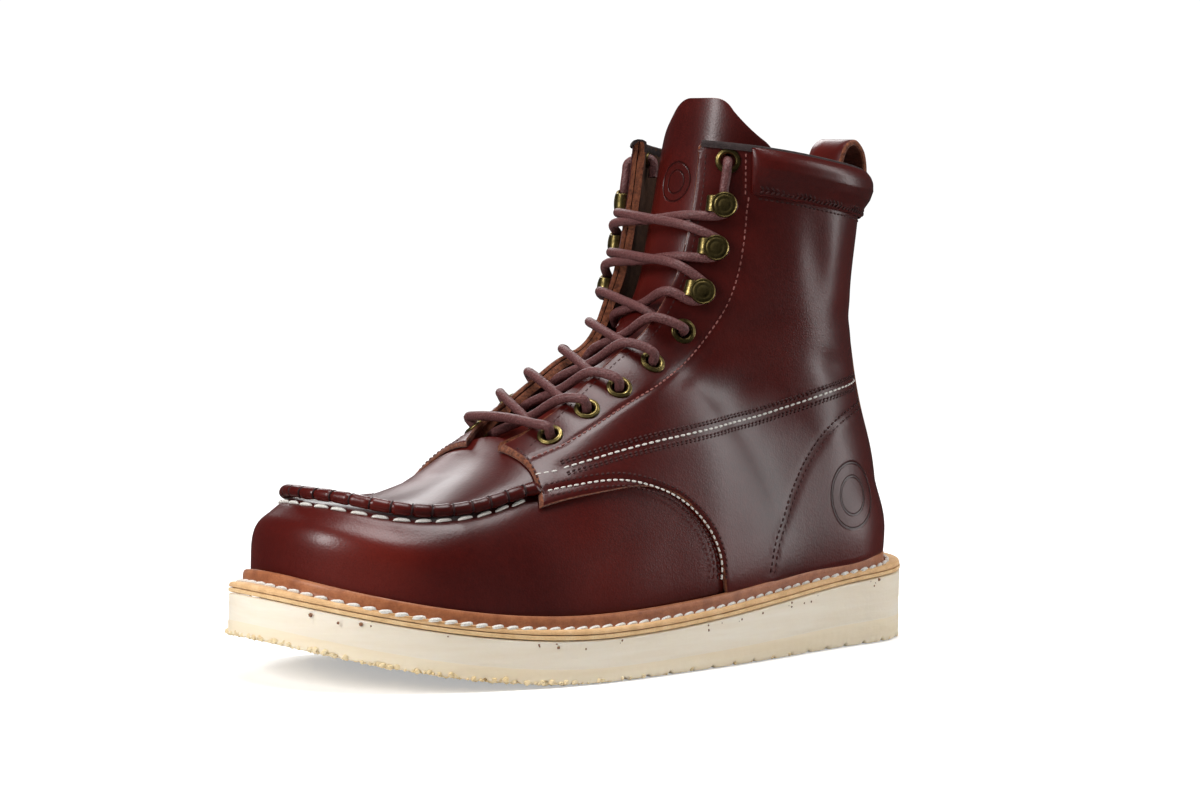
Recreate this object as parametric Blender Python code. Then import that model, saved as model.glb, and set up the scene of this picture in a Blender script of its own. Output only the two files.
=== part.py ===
"""Wedge sole work boot for the left foot, standing empty on its sole.

Metres, +Z up, +X toward the toe, +Y toward the outer side of the foot.
The shape comes from one surface function: a foot form joined smoothly to a shaft form.
The upper, its outer panels, the tongue and the trim are all cut from that function.
"""
import bpy
import bmesh
import numpy as np

MM = 0.001

# Driving sizes
SOLE_LENGTH = 305.0 * MM
BALL_WIDTH = 110.6 * MM
INSTEP_HEIGHT = 130.0 * MM
SHAFT_HEIGHT = 203.0 * MM
HEEL_STACK = 28.0 * MM

# Sole
TOE_SPRING = 16.5 * MM
SPRING_START = 0.62
HEEL_CAP = 37.0 * MM
TOE_CAP = 59.0 * MM
MIDSOLE_THICK = 2.0 * MM
WELT_THICK = 2.0 * MM
WELT_LIP = 4.6 * MM
WELT_LEDGE = 5.2 * MM
SEAT_GAP = 0.3 * MM
LIP_CLEAR = 0.6 * MM
WELT_CLEAR = 0.6 * MM
TREAD_PITCH = 12.0 * MM
TREAD_GROOVE = 3.2 * MM
TREAD_DEPTH = 1.4 * MM

# Leather
WALL = 2.2 * MM
PANEL_GAP = 0.35 * MM
PANEL_THICK = 1.9 * MM
TRIM_GAP = 1.2 * MM
FITTING_SEAT = 0.92 * MM
BLEND = 13.0 * MM
TOE_FRONT = 295.5 * MM
TOE_DEPTH = 54.0 * MM
HEEL_BACK = 13.0 * MM
HEEL_DEPTH = 29.0 * MM
PLAN_POWER = 2.3
WIDEST_ABOVE_WELT = 12.0 * MM
TAPER_BELOW = 44.0 * MM

# Lacing
EYELET_RADIUS = 4.9 * MM
EYELET_HOLE = 2.9 * MM
EYELET_THICK = 1.0 * MM
HOOK_RADIUS = 5.3 * MM
HOOK_HEIGHT = 6.6 * MM
LACE_RADIUS = 1.9 * MM
LACING_MIDDLE = 0.8 * MM

# Tables: one row per section, columns named above each table

# along (share of sole length), centre and half width (shares of ball width)
SOLE_COLUMNS = ("along", "centre", "half_width")
SOLE_ROWS = (
    (0.00, 0.000, 0.337),
    (0.12, 0.005, 0.337),
    (0.35, 0.033, 0.411),
    (0.52, 0.033, 0.466),
    (0.66, 0.014, 0.499),
    (0.80, -0.050, 0.486),
    (0.90, -0.099, 0.457),
    (1.00, -0.136, 0.429),
)

# along (share of sole length), thickness of the wedge (share of heel stack)
WEDGE_COLUMNS = ("along", "thickness")
WEDGE_ROWS = (
    (0.00, 1.021),
    (0.15, 0.929),
    (0.35, 0.750),
    (0.52, 0.618),
    (0.66, 0.586),
    (0.82, 0.579),
    (1.00, 0.557),
)

# along (share of sole length), centre and half width (ball width), crest (instep height)
# square: exponent of the section, higher is boxier
FOOT_COLUMNS = ("along", "centre", "half_width", "crest", "square")
FOOT_ROWS = (
    (0.02, 0.005, 0.262, 0.462, 2.25),
    (0.12, 0.005, 0.271, 0.569, 2.20),
    (0.26, 0.023, 0.312, 0.754, 2.15),
    (0.36, 0.031, 0.357, 0.931, 2.10),
    (0.44, 0.033, 0.389, 1.000, 2.10),
    (0.50, 0.029, 0.407, 0.973, 2.10),
    (0.56, 0.024, 0.425, 0.873, 2.12),
    (0.62, 0.014, 0.439, 0.765, 2.20),
    (0.68, -0.002, 0.450, 0.654, 2.32),
    (0.73, -0.018, 0.452, 0.592, 2.60),
    (0.79, -0.045, 0.447, 0.537, 2.90),
    (0.85, -0.074, 0.438, 0.519, 3.05),
    (0.92, -0.105, 0.425, 0.536, 3.30),
    (1.00, -0.136, 0.411, 0.585, 3.50),
)

# height (share of shaft height), back and front (sole length), half width (ball width)
SHAFT_COLUMNS = ("height", "back", "front", "half_width")
SHAFT_ROWS = (
    (0.148, 0.0475, 0.3279, 0.271),
    (0.236, 0.0433, 0.3541, 0.280),
    (0.305, 0.0472, 0.3738, 0.285),
    (0.374, 0.0551, 0.3934, 0.285),
    (0.433, 0.0675, 0.4164, 0.280),
    (0.493, 0.0807, 0.4361, 0.280),
    (0.596, 0.0957, 0.4590, 0.289),
    (0.665, 0.1036, 0.4607, 0.304),
    (0.739, 0.1069, 0.4410, 0.320),
    (0.813, 0.1049, 0.4246, 0.335),
    (0.887, 0.1016, 0.4131, 0.346),
    (1.000, 0.0984, 0.4016, 0.362),
    (1.108, 0.0967, 0.3934, 0.371),
)

# share: along the edge from collar corner to throat; along (sole length), height (shaft height)
EYESTAY_COLUMNS = ("share", "along", "height", "half_gap")
EYESTAY_ROWS = (
    (0.00, 0.3869, 0.9990, 0.172),
    (0.09, 0.3879, 0.9335, 0.176),
    (0.18, 0.3928, 0.8665, 0.176),
    (0.29, 0.4046, 0.7901, 0.172),
    (0.38, 0.4216, 0.7315, 0.168),
    (0.48, 0.4541, 0.6700, 0.164),
    (0.57, 0.4902, 0.6182, 0.162),
    (0.68, 0.5377, 0.5665, 0.162),
    (0.79, 0.5869, 0.5222, 0.163),
    (0.90, 0.6393, 0.4803, 0.165),
    (1.00, 0.6869, 0.4399, 0.168),
)

# share: along the arch from the welt to the tab; along (sole length), height (shaft height)
ARCH_COLUMNS = ("share", "along", "height")
ARCH_ROWS = (
    (0.00, 0.4108, 0.1517),
    (0.15, 0.4262, 0.2305),
    (0.32, 0.4652, 0.3005),
    (0.41, 0.4918, 0.3300),
    (0.51, 0.5328, 0.3493),
    (0.67, 0.5902, 0.3488),
    (0.82, 0.6462, 0.3369),
    (1.00, 0.7010, 0.3192),
)

# height (share of shaft height), along (share of sole length) of the tab's front edge
TAB_COLUMNS = ("height", "along")
TAB_ROWS = (
    (0.3192, 0.7010),
    (0.3520, 0.6918),
    (0.3840, 0.6846),
    (0.4160, 0.6860),
    (0.4400, 0.6869),
)

# share: along the collar from the back to its front corner; height (shaft height)
COLLAR_COLUMNS = ("share", "height")
COLLAR_ROWS = (
    (0.00, 0.936),
    (0.30, 0.950),
    (0.60, 0.972),
    (0.85, 0.990),
    (1.00, 0.998),
)


def spline(knots, values, at):
    """Natural cubic spline through the knots, held at the ends."""
    knots = np.asarray(knots, float)
    values = np.asarray(values, float)
    count = len(knots)
    step = np.diff(knots)
    matrix = np.eye(count)
    right = np.zeros(count)
    for i in range(1, count - 1):
        matrix[i, i - 1] = step[i - 1]
        matrix[i, i] = 2.0 * (step[i - 1] + step[i])
        matrix[i, i + 1] = step[i]
        rise = (values[i + 1] - values[i]) / step[i]
        fall = (values[i] - values[i - 1]) / step[i - 1]
        right[i] = 6.0 * (rise - fall)
    bend = np.linalg.solve(matrix, right)
    at = np.clip(np.asarray(at, float), knots[0], knots[-1])
    i = np.clip(np.searchsorted(knots, at) - 1, 0, count - 2)
    a = (knots[i + 1] - at) / step[i]
    b = (at - knots[i]) / step[i]
    cubic = ((a ** 3 - a) * bend[i] + (b ** 3 - b) * bend[i + 1]) * step[i] ** 2 / 6.0
    return a * values[i] + b * values[i + 1] + cubic


def look_up(columns, rows, name, at):
    """Value of a named column at a place given in the first column."""
    table = np.asarray(rows, float)
    return spline(table[:, 0], table[:, columns.index(name)], at)


def cap(reach, power):
    """Superellipse closing a form: 1 at reach 0, 0 at reach 1."""
    return (1.0 - np.clip(reach, 0.0, 1.0) ** power) ** (1.0 / power)


# Sole lines; x here is measured from the heel end of the sole

def sole_centre(x):
    return look_up(SOLE_COLUMNS, SOLE_ROWS, "centre", x / SOLE_LENGTH) * BALL_WIDTH


def sole_half_width(x):
    width = look_up(SOLE_COLUMNS, SOLE_ROWS, "half_width", x / SOLE_LENGTH) * BALL_WIDTH
    heel = cap((HEEL_CAP - x) / HEEL_CAP, 2.3)
    toe = cap((x - SOLE_LENGTH + TOE_CAP) / TOE_CAP, 2.2)
    return width * heel * toe


def sole_bottom(x):
    run = np.clip((x / SOLE_LENGTH - SPRING_START) / (1.0 - SPRING_START), 0.0, 1.0)
    return TOE_SPRING * run ** 2


def wedge_top(x):
    share = look_up(WEDGE_COLUMNS, WEDGE_ROWS, "thickness", x / SOLE_LENGTH)
    return sole_bottom(x) + share * HEEL_STACK


def midsole_top(x):
    return wedge_top(x) + MIDSOLE_THICK


def ledge_top(x):
    return midsole_top(x) + WELT_THICK


def lip_top(x):
    return ledge_top(x) + WELT_LIP


# Surface function: below 0 inside, above 0 outside

def foot_form(p):
    x = p[..., 0]
    y = p[..., 1]
    z = p[..., 2]
    s = np.clip(x / SOLE_LENGTH, 0.02, 1.0)
    centre = look_up(FOOT_COLUMNS, FOOT_ROWS, "centre", s) * BALL_WIDTH
    width = look_up(FOOT_COLUMNS, FOOT_ROWS, "half_width", s) * BALL_WIDTH
    crest = look_up(FOOT_COLUMNS, FOOT_ROWS, "crest", s) * INSTEP_HEIGHT
    square = look_up(FOOT_COLUMNS, FOOT_ROWS, "square", s)
    widest = ledge_top(np.clip(x, 0.0, SOLE_LENGTH)) + WIDEST_ABOVE_WELT
    above = np.abs(z - widest) / (crest - widest)
    below = np.abs(widest - z) / TAPER_BELOW
    rise = np.where(z > widest, above, below)
    toe = np.clip((x - TOE_FRONT + TOE_DEPTH) / TOE_DEPTH, 0.0, None)
    heel = np.clip((HEEL_BACK + HEEL_DEPTH - x) / HEEL_DEPTH, 0.0, None)
    aside = np.abs(y - centre) / width
    plan = (aside ** PLAN_POWER + toe ** PLAN_POWER + heel ** PLAN_POWER) ** (1.0 / PLAN_POWER)
    norm = (plan ** square + rise ** square) ** (1.0 / square)
    return (norm - 1.0) * 42.0 * MM


def shaft_form(p):
    x = p[..., 0]
    y = p[..., 1]
    z = p[..., 2]
    h = z / SHAFT_HEIGHT
    back = look_up(SHAFT_COLUMNS, SHAFT_ROWS, "back", h) * SOLE_LENGTH
    front = look_up(SHAFT_COLUMNS, SHAFT_ROWS, "front", h) * SOLE_LENGTH
    width = look_up(SHAFT_COLUMNS, SHAFT_ROWS, "half_width", h) * BALL_WIDTH
    middle = back + 0.46 * (front - back)
    ahead = np.where(x > middle, (x - middle) / (front - middle), (middle - x) / (middle - back))
    aside = np.abs(y - 1.0 * MM) / width
    power = 2.25
    return ((ahead ** power + aside ** power) ** (1.0 / power) - 1.0) * 38.0 * MM


def boot_form(p):
    foot = foot_form(p)
    shaft = shaft_form(p)
    share = np.clip(0.5 + 0.5 * (shaft - foot) / BLEND, 0.0, 1.0)
    return shaft * (1.0 - share) + foot * share - BLEND * share * (1.0 - share)


def slope(p):
    step = 0.2 * MM
    result = np.zeros_like(p)
    for axis in range(3):
        move = np.zeros(3)
        move[axis] = step
        result[..., axis] = (boot_form(p + move) - boot_form(p - move)) / (2.0 * step)
    return result


def settle(points, free=(1.0, 1.0, 1.0)):
    """Slide guessed points onto the surface, moving only along the free axes."""
    p = np.array(points, float)
    free = np.asarray(free, float)
    for _ in range(16):
        value = boot_form(p)
        g = slope(p) * free
        size = np.maximum((g ** 2).sum(-1), 1e-4)
        move = -(value / size)[..., None] * g
        length = np.linalg.norm(move, axis=-1, keepdims=True)
        p = p + move * np.minimum(1.0, 8.0 * MM / np.maximum(length, 1e-9))
    return p


def normals(p):
    g = slope(p)
    return g / np.linalg.norm(g, axis=-1, keepdims=True)


def shift(p, distance):
    """Move surface points outward along the surface normal."""
    return p + normals(p) * np.asarray(distance, float)[..., None]


def cast(start, heading, reach=150.0 * MM):
    """First place where rays from inside leave the surface."""
    start = np.asarray(start, float)
    heading = np.asarray(heading, float)
    steps = np.linspace(0.0, reach, 76)
    near = np.zeros(start.shape[:-1])
    far = np.full(start.shape[:-1], reach)
    found = np.zeros(start.shape[:-1], bool)
    for t in steps[1:]:
        outside = (boot_form(start + t * heading) > 0.0) & ~found
        far = np.where(outside, t, far)
        near = np.where(outside, t - steps[1], near)
        found |= outside
    for _ in range(30):
        half = 0.5 * (near + far)
        outside = boot_form(start + half[..., None] * heading) > 0.0
        far = np.where(outside, half, far)
        near = np.where(outside, near, half)
    return start + (0.5 * (near + far))[..., None] * heading


# Lines on the boot

def outline_x(share):
    """Place along the sole for a share of the half outline, heel 0 to toe 1."""
    return SOLE_LENGTH * 0.5 * (1.0 - np.cos(np.pi * share))


def girdle(x_outline, side, height):
    """Surface points at a height, found outward from the middle line of the foot."""
    x_outline = np.asarray(x_outline, float)
    edge_y = sole_centre(x_outline) + side * sole_half_width(x_outline)
    spine_x = np.clip(x_outline, 46.0 * MM, 238.0 * MM)
    spine_y = sole_centre(spine_x)
    start = np.stack([spine_x, spine_y, height], axis=-1)
    goal = np.stack([x_outline, edge_y, height], axis=-1)
    heading = goal - start
    heading = heading / np.linalg.norm(heading, axis=-1, keepdims=True)
    return cast(start, heading)


def base_line(side, x_outline, height_of):
    x_outline = np.asarray(x_outline, float)
    return girdle(x_outline, side, height_of(x_outline))


def collar_line(side, share, drop=0.0):
    """Collar edge from the back of the heel to its front corner."""
    share = np.asarray(share, float)
    front_angle = np.radians(24.0)
    angle = np.pi - share * (np.pi - front_angle)
    height = look_up(COLLAR_COLUMNS, COLLAR_ROWS, "height", share) * SHAFT_HEIGHT - drop
    start = np.stack([np.full_like(share, 75.0 * MM), np.full_like(share, 1.0 * MM), height], axis=-1)
    heading = np.stack([np.cos(angle), side * np.sin(angle), np.zeros_like(share)], axis=-1)
    return cast(start, heading)


def eyestay_line(side, share):
    """Edge of the lacing gap from the collar corner down to the throat."""
    x = look_up(EYESTAY_COLUMNS, EYESTAY_ROWS, "along", share) * SOLE_LENGTH
    z = look_up(EYESTAY_COLUMNS, EYESTAY_ROWS, "height", share) * SHAFT_HEIGHT
    y = side * look_up(EYESTAY_COLUMNS, EYESTAY_ROWS, "half_gap", share) * BALL_WIDTH
    return settle(np.stack([x, y, z], axis=-1), (1.0, 0.0, 1.0))


def throat_line(side, share):
    """Rear edge of the apron from the throat corner to the middle."""
    corner = eyestay_line(side, np.array([1.0]))[0]
    y = corner[1] * (1.0 - share)
    x = 203.0 * MM + (corner[0] - 203.0 * MM) * (1.0 - share) ** 2
    z = np.full_like(y, corner[2])
    return settle(np.stack([x, y, z], axis=-1), (0.0, 0.0, 1.0))


SEAM_START = 205.0 * MM
SEAM_FRONT = 286.5 * MM
SEAM_SPREAD = 0.80


def seam_line(side, share):
    """Moc seam from beside the tab (0) to the middle of the toe (1)."""
    share = np.asarray(share, float)
    reach = np.sin(0.5 * np.pi * share)
    x = SEAM_START + (SEAM_FRONT - SEAM_START) * reach
    width = look_up(FOOT_COLUMNS, FOOT_ROWS, "half_width", x / SOLE_LENGTH) * BALL_WIDTH
    centre = look_up(FOOT_COLUMNS, FOOT_ROWS, "centre", x / SOLE_LENGTH) * BALL_WIDTH
    y = centre + side * SEAM_SPREAD * width * cap(reach, 3.0)
    z = np.full_like(y, 70.0 * MM)
    return settle(np.stack([x, y, z], axis=-1), (0.0, 0.0, 1.0))


# Meshes

def centre_shift():
    """Sideways move that puts the sole's box on the middle plane."""
    x = outline_x(np.linspace(0.0, 1.0, 401))
    high = (sole_centre(x) + sole_half_width(x)).max()
    low = (sole_centre(x) - sole_half_width(x)).min()
    return 0.5 * (high + low)


SIDE_SHIFT = centre_shift()
ORIGIN = np.array([0.5 * SOLE_LENGTH, SIDE_SHIFT, 0.0])


def slot(name, colour, roughness, metallic=0.0):
    material = bpy.data.materials.get(name)
    if material is None:
        material = bpy.data.materials.new(name)
        material.use_nodes = True
        shader = material.node_tree.nodes["Principled BSDF"]
        shader.inputs["Base Color"].default_value = (colour[0], colour[1], colour[2], 1.0)
        shader.inputs["Roughness"].default_value = roughness
        shader.inputs["Metallic"].default_value = metallic
        material.diffuse_color = (colour[0], colour[1], colour[2], 1.0)
    return material


def add_solid(name, points, faces, material):
    """One closed solid, corners merged, faces turned outward."""
    mesh = bpy.data.meshes.new(name)
    moved = np.asarray(points, float) - ORIGIN
    mesh.from_pydata([tuple(v) for v in moved], [], faces)
    form = bmesh.new()
    form.from_mesh(mesh)
    bmesh.ops.remove_doubles(form, verts=form.verts, dist=0.005 * MM)
    bmesh.ops.dissolve_degenerate(form, edges=form.edges, dist=0.002 * MM)
    bmesh.ops.triangulate(form, faces=form.faces)
    bmesh.ops.recalc_face_normals(form, faces=form.faces)
    if form.calc_volume(signed=True) < 0.0:
        bmesh.ops.reverse_faces(form, faces=form.faces)
    form.to_mesh(mesh)
    form.free()
    item = bpy.data.objects.new(name, mesh)
    bpy.context.scene.collection.objects.link(item)
    mesh.materials.append(material)
    return item


def grid_faces(rows, columns, start, wrap, flip):
    faces = []
    last = columns if wrap else columns - 1
    for i in range(rows - 1):
        for j in range(last):
            k = (j + 1) % columns
            quad = (start + i * columns + j, start + i * columns + k,
                    start + (i + 1) * columns + k, start + (i + 1) * columns + j)
            faces.append(quad[::-1] if flip else quad)
    return faces


def shell(outer, inner, wrap):
    """Closed wall between two matching grids (rows x columns x 3)."""
    rows, columns = outer.shape[:2]
    points = np.concatenate([outer.reshape(-1, 3), inner.reshape(-1, 3)])
    second = rows * columns
    faces = grid_faces(rows, columns, 0, wrap, False)
    faces += grid_faces(rows, columns, second, wrap, True)
    last = columns if wrap else columns - 1
    for j in range(last):
        k = (j + 1) % columns
        faces.append((j, second + j, second + k, k))
        top = (rows - 1) * columns
        faces.append((top + k, second + top + k, second + top + j, top + j))
    if not wrap:
        for i in range(rows - 1):
            a = i * columns
            b = (i + 1) * columns
            faces.append((a, b, second + b, second + a))
            a = i * columns + columns - 1
            b = (i + 1) * columns + columns - 1
            faces.append((b, a, second + a, second + b))
    return points, faces


def ladder(x, half_width, centre, top, bottom):
    """Solid from cross strips: left and right edge at each place along the sole."""
    count = len(x)
    points = []
    for i in range(count):
        left = centre[i] + half_width[i]
        right = centre[i] - half_width[i]
        points.append((x[i], left, top[i]))
        points.append((x[i], right, top[i]))
        points.append((x[i], right, bottom[i]))
        points.append((x[i], left, bottom[i]))
    faces = [(0, 1, 2, 3)]
    for i in range(count - 1):
        a = 4 * i
        b = 4 * (i + 1)
        for j in range(4):
            k = (j + 1) % 4
            faces.append((a + j, b + j, b + k, a + k))
    end = 4 * (count - 1)
    faces.append((end + 3, end + 2, end + 1, end))
    return np.array(points), faces


def swept_ring(sections, close):
    """Solid through closed cross sections (count x corners x 3)."""
    count, corners = sections.shape[:2]
    points = sections.reshape(-1, 3)
    faces = []
    last = count if close else count - 1
    for i in range(last):
        n = (i + 1) % count
        for j in range(corners):
            k = (j + 1) % corners
            faces.append((i * corners + j, n * corners + j, n * corners + k, i * corners + k))
    if not close:
        faces.append(tuple(range(corners)))
        faces.append(tuple((count - 1) * corners + j for j in reversed(range(corners))))
    return points, faces


def frame_of(normal, along):
    n = normal / np.linalg.norm(normal)
    t = along - n * np.dot(along, n)
    t = t / np.linalg.norm(t)
    return n, t, np.cross(n, t)


def turned(centre, normal, along, profile, sides, ring):
    """Solid turned about a normal; profile rows are (radius, height, shift along)."""
    n, t, b = frame_of(normal, along)
    points = []
    angles = np.linspace(0.0, 2.0 * np.pi, sides, endpoint=False)
    for radius, height, move in profile:
        middle = centre + n * height + t * move
        for a in angles:
            points.append(middle + radius * (np.cos(a) * t + np.sin(a) * b))
    faces = []
    rows = len(profile)
    last = rows if ring else rows - 1
    for i in range(last):
        n_row = (i + 1) % rows
        for j in range(sides):
            k = (j + 1) % sides
            faces.append((i * sides + j, i * sides + k, n_row * sides + k, n_row * sides + j))
    if not ring:
        faces.append(tuple(reversed(range(sides))))
        faces.append(tuple((rows - 1) * sides + j for j in range(sides)))
    return np.array(points), faces


def tube(path, radius, sides):
    """Round cord along a path with closed ends."""
    path = np.asarray(path, float)
    ahead = np.gradient(path, axis=0)
    ahead = ahead / np.linalg.norm(ahead, axis=1, keepdims=True)
    up = np.array([0.0, 0.0, 1.0])
    if abs(ahead[0][2]) > 0.9:
        up = np.array([1.0, 0.0, 0.0])
    sections = []
    angles = np.linspace(0.0, 2.0 * np.pi, sides, endpoint=False)
    for i in range(len(path)):
        side = np.cross(ahead[i], up)
        side = side / np.linalg.norm(side)
        up = np.cross(side, ahead[i])
        loop = [path[i] + radius * (np.cos(a) * side + np.sin(a) * up) for a in angles]
        sections.append(loop)
    return swept_ring(np.array(sections), False)


# Pieces

LEATHER = slot("leather", (0.145, 0.022, 0.018), 0.32)
WELT_TAN = slot("welt", (0.52, 0.26, 0.12), 0.55)
MIDSOLE_TAN = slot("midsole", (0.62, 0.42, 0.24), 0.75)
CREPE = slot("outsole", (0.86, 0.78, 0.58), 0.70)
LINING = slot("lining", (0.30, 0.17, 0.10), 0.70)
BRASS = slot("hardware", (0.36, 0.30, 0.16), 0.40, 0.9)
LACE = slot("lace", (0.22, 0.10, 0.09), 0.45)


def make_outsole():
    bars = int(SOLE_LENGTH / TREAD_PITCH)
    places = [0.0, 0.4 * MM, 1.4 * MM, 3.2 * MM, 6.0 * MM, 10.0 * MM]
    depth = [0.0] * len(places)
    for i in range(1, bars):
        start = i * TREAD_PITCH + 2.0 * MM
        ramp = 0.7 * MM
        places += [start, start + ramp, start + TREAD_GROOVE - ramp, start + TREAD_GROOVE]
        depth += [0.0, TREAD_DEPTH, TREAD_DEPTH, 0.0]
    for back in (7.0, 4.2, 2.2, 0.9, 0.2, 0.0):
        places.append(SOLE_LENGTH - back * MM)
        depth.append(0.0)
    order = np.argsort(places)
    x = np.array(places)[order]
    groove = np.array(depth)[order]
    width = np.maximum(sole_half_width(x), 1.6 * MM)
    points, faces = ladder(x, width, sole_centre(x), wedge_top(x) - 0.5 * SEAT_GAP,
                           sole_bottom(x) + groove)
    add_solid("outsole", points, faces, CREPE)


def make_midsole():
    share = np.linspace(0.0, 1.0, 31)
    x = outline_x(share)
    x[0] = 0.3 * MM
    x[-1] = SOLE_LENGTH - 0.3 * MM
    inset = 0.5 * MM
    width = np.maximum(sole_half_width(x) - inset, 1.6 * MM)
    x = np.clip(x, inset, SOLE_LENGTH - inset)
    points, faces = ladder(x, width, sole_centre(x), midsole_top(x) - 0.5 * SEAT_GAP,
                           wedge_top(x) + 0.5 * SEAT_GAP)
    add_solid("midsole", points, faces, MIDSOLE_TAN)


HALF_COLUMNS = 26


def around(line):
    """Whole loop from a half line given for each side: back, outer side, toe, inner side."""
    outer = line(1.0)
    inner = line(-1.0)
    return np.concatenate([outer, inner[-2:0:-1]])


def make_welt():
    share = np.linspace(0.0, 1.0, 23)
    x = outline_x(share)

    def edge(side):
        return np.stack([x, sole_centre(x) + side * sole_half_width(x), x * 0.0], axis=-1)

    def low(side):
        return base_line(side, x, lambda q: midsole_top(q) + 0.5 * SEAT_GAP)

    def high(side):
        return base_line(side, x, lip_top)

    rim = around(edge)
    foot = shift(around(low), np.full(44, WELT_CLEAR))
    lip = shift(around(high), np.full(44, WELT_CLEAR))
    toward = foot - rim
    toward[:, 2] = 0.0
    gap = np.linalg.norm(toward, axis=1, keepdims=True)
    toward = toward / gap
    rim_x = rim[:, 0]
    base = midsole_top(rim_x) + 0.5 * SEAT_GAP
    ledge = ledge_top(rim_x)
    inset = 0.7 * MM

    def at(distance, height):
        point = rim + toward * distance
        point[:, 2] = height
        return point

    lip_wide = np.minimum(2.0 * MM, gap[:, 0] * 0.3)
    lip_out = lip - toward * lip_wide[:, None]
    foot_level = foot.copy()
    foot_level[:, 2] = base
    sections = np.stack([
        at(inset, base),
        at(inset, ledge - 0.3 * MM),
        at(inset + 0.5 * MM, ledge),
        lip_out + np.array([0.0, 0.0, -WELT_LIP + 0.4 * MM]) - toward * 1.2 * MM,
        lip_out + np.array([0.0, 0.0, -0.9 * MM]),
        0.5 * (lip_out + lip) + np.array([0.0, 0.0, 0.1 * MM]),
        lip + np.array([0.0, 0.0, -0.5 * MM]),
        foot_level,
    ], axis=1)
    points, faces = swept_ring(sections, True)
    add_solid("welt", points, faces, WELT_TAN)


BACK_COLUMNS = 10
LACE_COLUMNS = 19
LOW_ROWS = 4
HIGH_ROWS = 8


def half_grid(side):
    """Surface points of one side: rows from the midsole to the top edge, columns heel to toe.

    Row 0 stands on the midsole, row 1 clears the welt lip, the last row is the collar,
    the eyestay edge and the throat.
    """
    apron = 214.0 * MM
    apron_share = np.arccos(1.0 - 2.0 * apron / SOLE_LENGTH) / np.pi
    toe_columns = HALF_COLUMNS - LACE_COLUMNS
    lace_columns = LACE_COLUMNS - BACK_COLUMNS
    x_out = np.concatenate([
        outline_x(np.linspace(0.0, 0.41, BACK_COLUMNS + 1)),
        np.linspace(outline_x(0.41), apron, lace_columns + 1)[1:],
        outline_x(np.linspace(apron_share, 1.0, toe_columns + 1))[1:],
    ])
    foot = base_line(side, x_out, lambda q: midsole_top(q) + 0.7 * MM)
    ankle = base_line(side, x_out, lambda q: lip_top(q) + LIP_CLEAR)
    top = np.concatenate([
        collar_line(side, np.linspace(0.0, 1.0, BACK_COLUMNS + 1)),
        eyestay_line(side, np.linspace(0.0, 1.0, lace_columns + 1))[1:],
        throat_line(side, np.linspace(0.0, 1.0, toe_columns + 1))[1:],
    ])
    middle_height = np.interp(x_out, [0.0, 120.0 * MM, apron], [72.0 * MM, 74.0 * MM, 66.0 * MM])
    waist = girdle(x_out, side, middle_height)
    seam = seam_line(side, np.linspace(0.12, 1.0, toe_columns + 1))
    step = seam[0] - waist[LACE_COLUMNS]
    for back in (1, 2, 3):
        waist[LACE_COLUMNS - back] += step * (1.0 - back / 4.0)
    waist[LACE_COLUMNS:] = seam
    rows = [foot]
    for i in range(LOW_ROWS):
        part = i / LOW_ROWS
        rows.append(ankle * (1.0 - part) + waist * part)
    for i in range(HIGH_ROWS + 1):
        part = i / HIGH_ROWS
        rows.append(waist * (1.0 - part) + top * part)
    grid = np.stack(rows)
    grid[2:-1] = settle(grid[2:-1])
    return grid


def make_upper():
    outer = half_grid(1.0)
    inner = half_grid(-1.0)
    grid = np.concatenate([outer, inner[:, -2:0:-1]], axis=1)
    wall = np.full(grid.shape[:2], -WALL)
    points, faces = shell(grid, shift(grid, wall), True)
    return add_solid("upper", points, faces, LEATHER)


def make_insole():
    x = outline_x(np.linspace(0.0, 1.0, 33))

    def ring(side):
        level = base_line(side, x, lambda q: ledge_top(q) + 2.0 * MM)
        return level

    loop = around(ring)
    inner = shift(loop, np.full(len(loop), -WALL - 1.1 * MM))
    top = inner.copy()
    top[:, 2] = np.interp(inner[:, 0], x, ledge_top(x)) + 3.2 * MM
    low = inner.copy()
    low[:, 2] = np.interp(inner[:, 0], x, ledge_top(x)) - 0.4 * MM
    middle_x = np.clip(inner[:, 0], 46.0 * MM, 238.0 * MM)
    middle = np.stack([middle_x, sole_centre(middle_x), inner[:, 2]], axis=-1)
    low[:, :2] += (middle[:, :2] - low[:, :2]) * 0.03
    count = len(loop)
    points = np.concatenate([top, low])
    faces = [tuple(range(count)), tuple(reversed(range(count, 2 * count)))]
    for j in range(count):
        k = (j + 1) % count
        faces.append((j, count + j, count + k, k))
    add_solid("insole", points, faces, LINING)


def prism(name, outline, low, high):
    """Side-view outline carried across the boot."""
    count = len(outline)
    points = [(x, low, z) for x, z in outline] + [(x, high, z) for x, z in outline]
    faces = [tuple(range(count)), tuple(reversed(range(count, 2 * count)))]
    for j in range(count):
        k = (j + 1) % count
        faces.append((j, count + j, count + k, k))
    return add_solid(name, np.array(points), faces, LEATHER)


def front_outline():
    """Everything ahead of the arch and the tab, seen from the side."""
    share = np.linspace(0.0, 1.0, 14)
    x = look_up(ARCH_COLUMNS, ARCH_ROWS, "along", share) * SOLE_LENGTH
    z = look_up(ARCH_COLUMNS, ARCH_ROWS, "height", share) * SHAFT_HEIGHT
    arch = list(zip(x, z))
    tab = [(look_up(TAB_COLUMNS, TAB_ROWS, "along", q) * SOLE_LENGTH, q * SHAFT_HEIGHT)
           for q in (0.349, 0.384, 0.416)]
    low = [(x[0] - 0.4 * MM, 0.5 * z[0])]
    around_front = [(0.6850 * SOLE_LENGTH, 0.60 * SHAFT_HEIGHT), (1.02 * SOLE_LENGTH, 0.60 * SHAFT_HEIGHT),
                    (1.02 * SOLE_LENGTH, 0.5 * z[0])]
    return low + arch + tab + around_front


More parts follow.
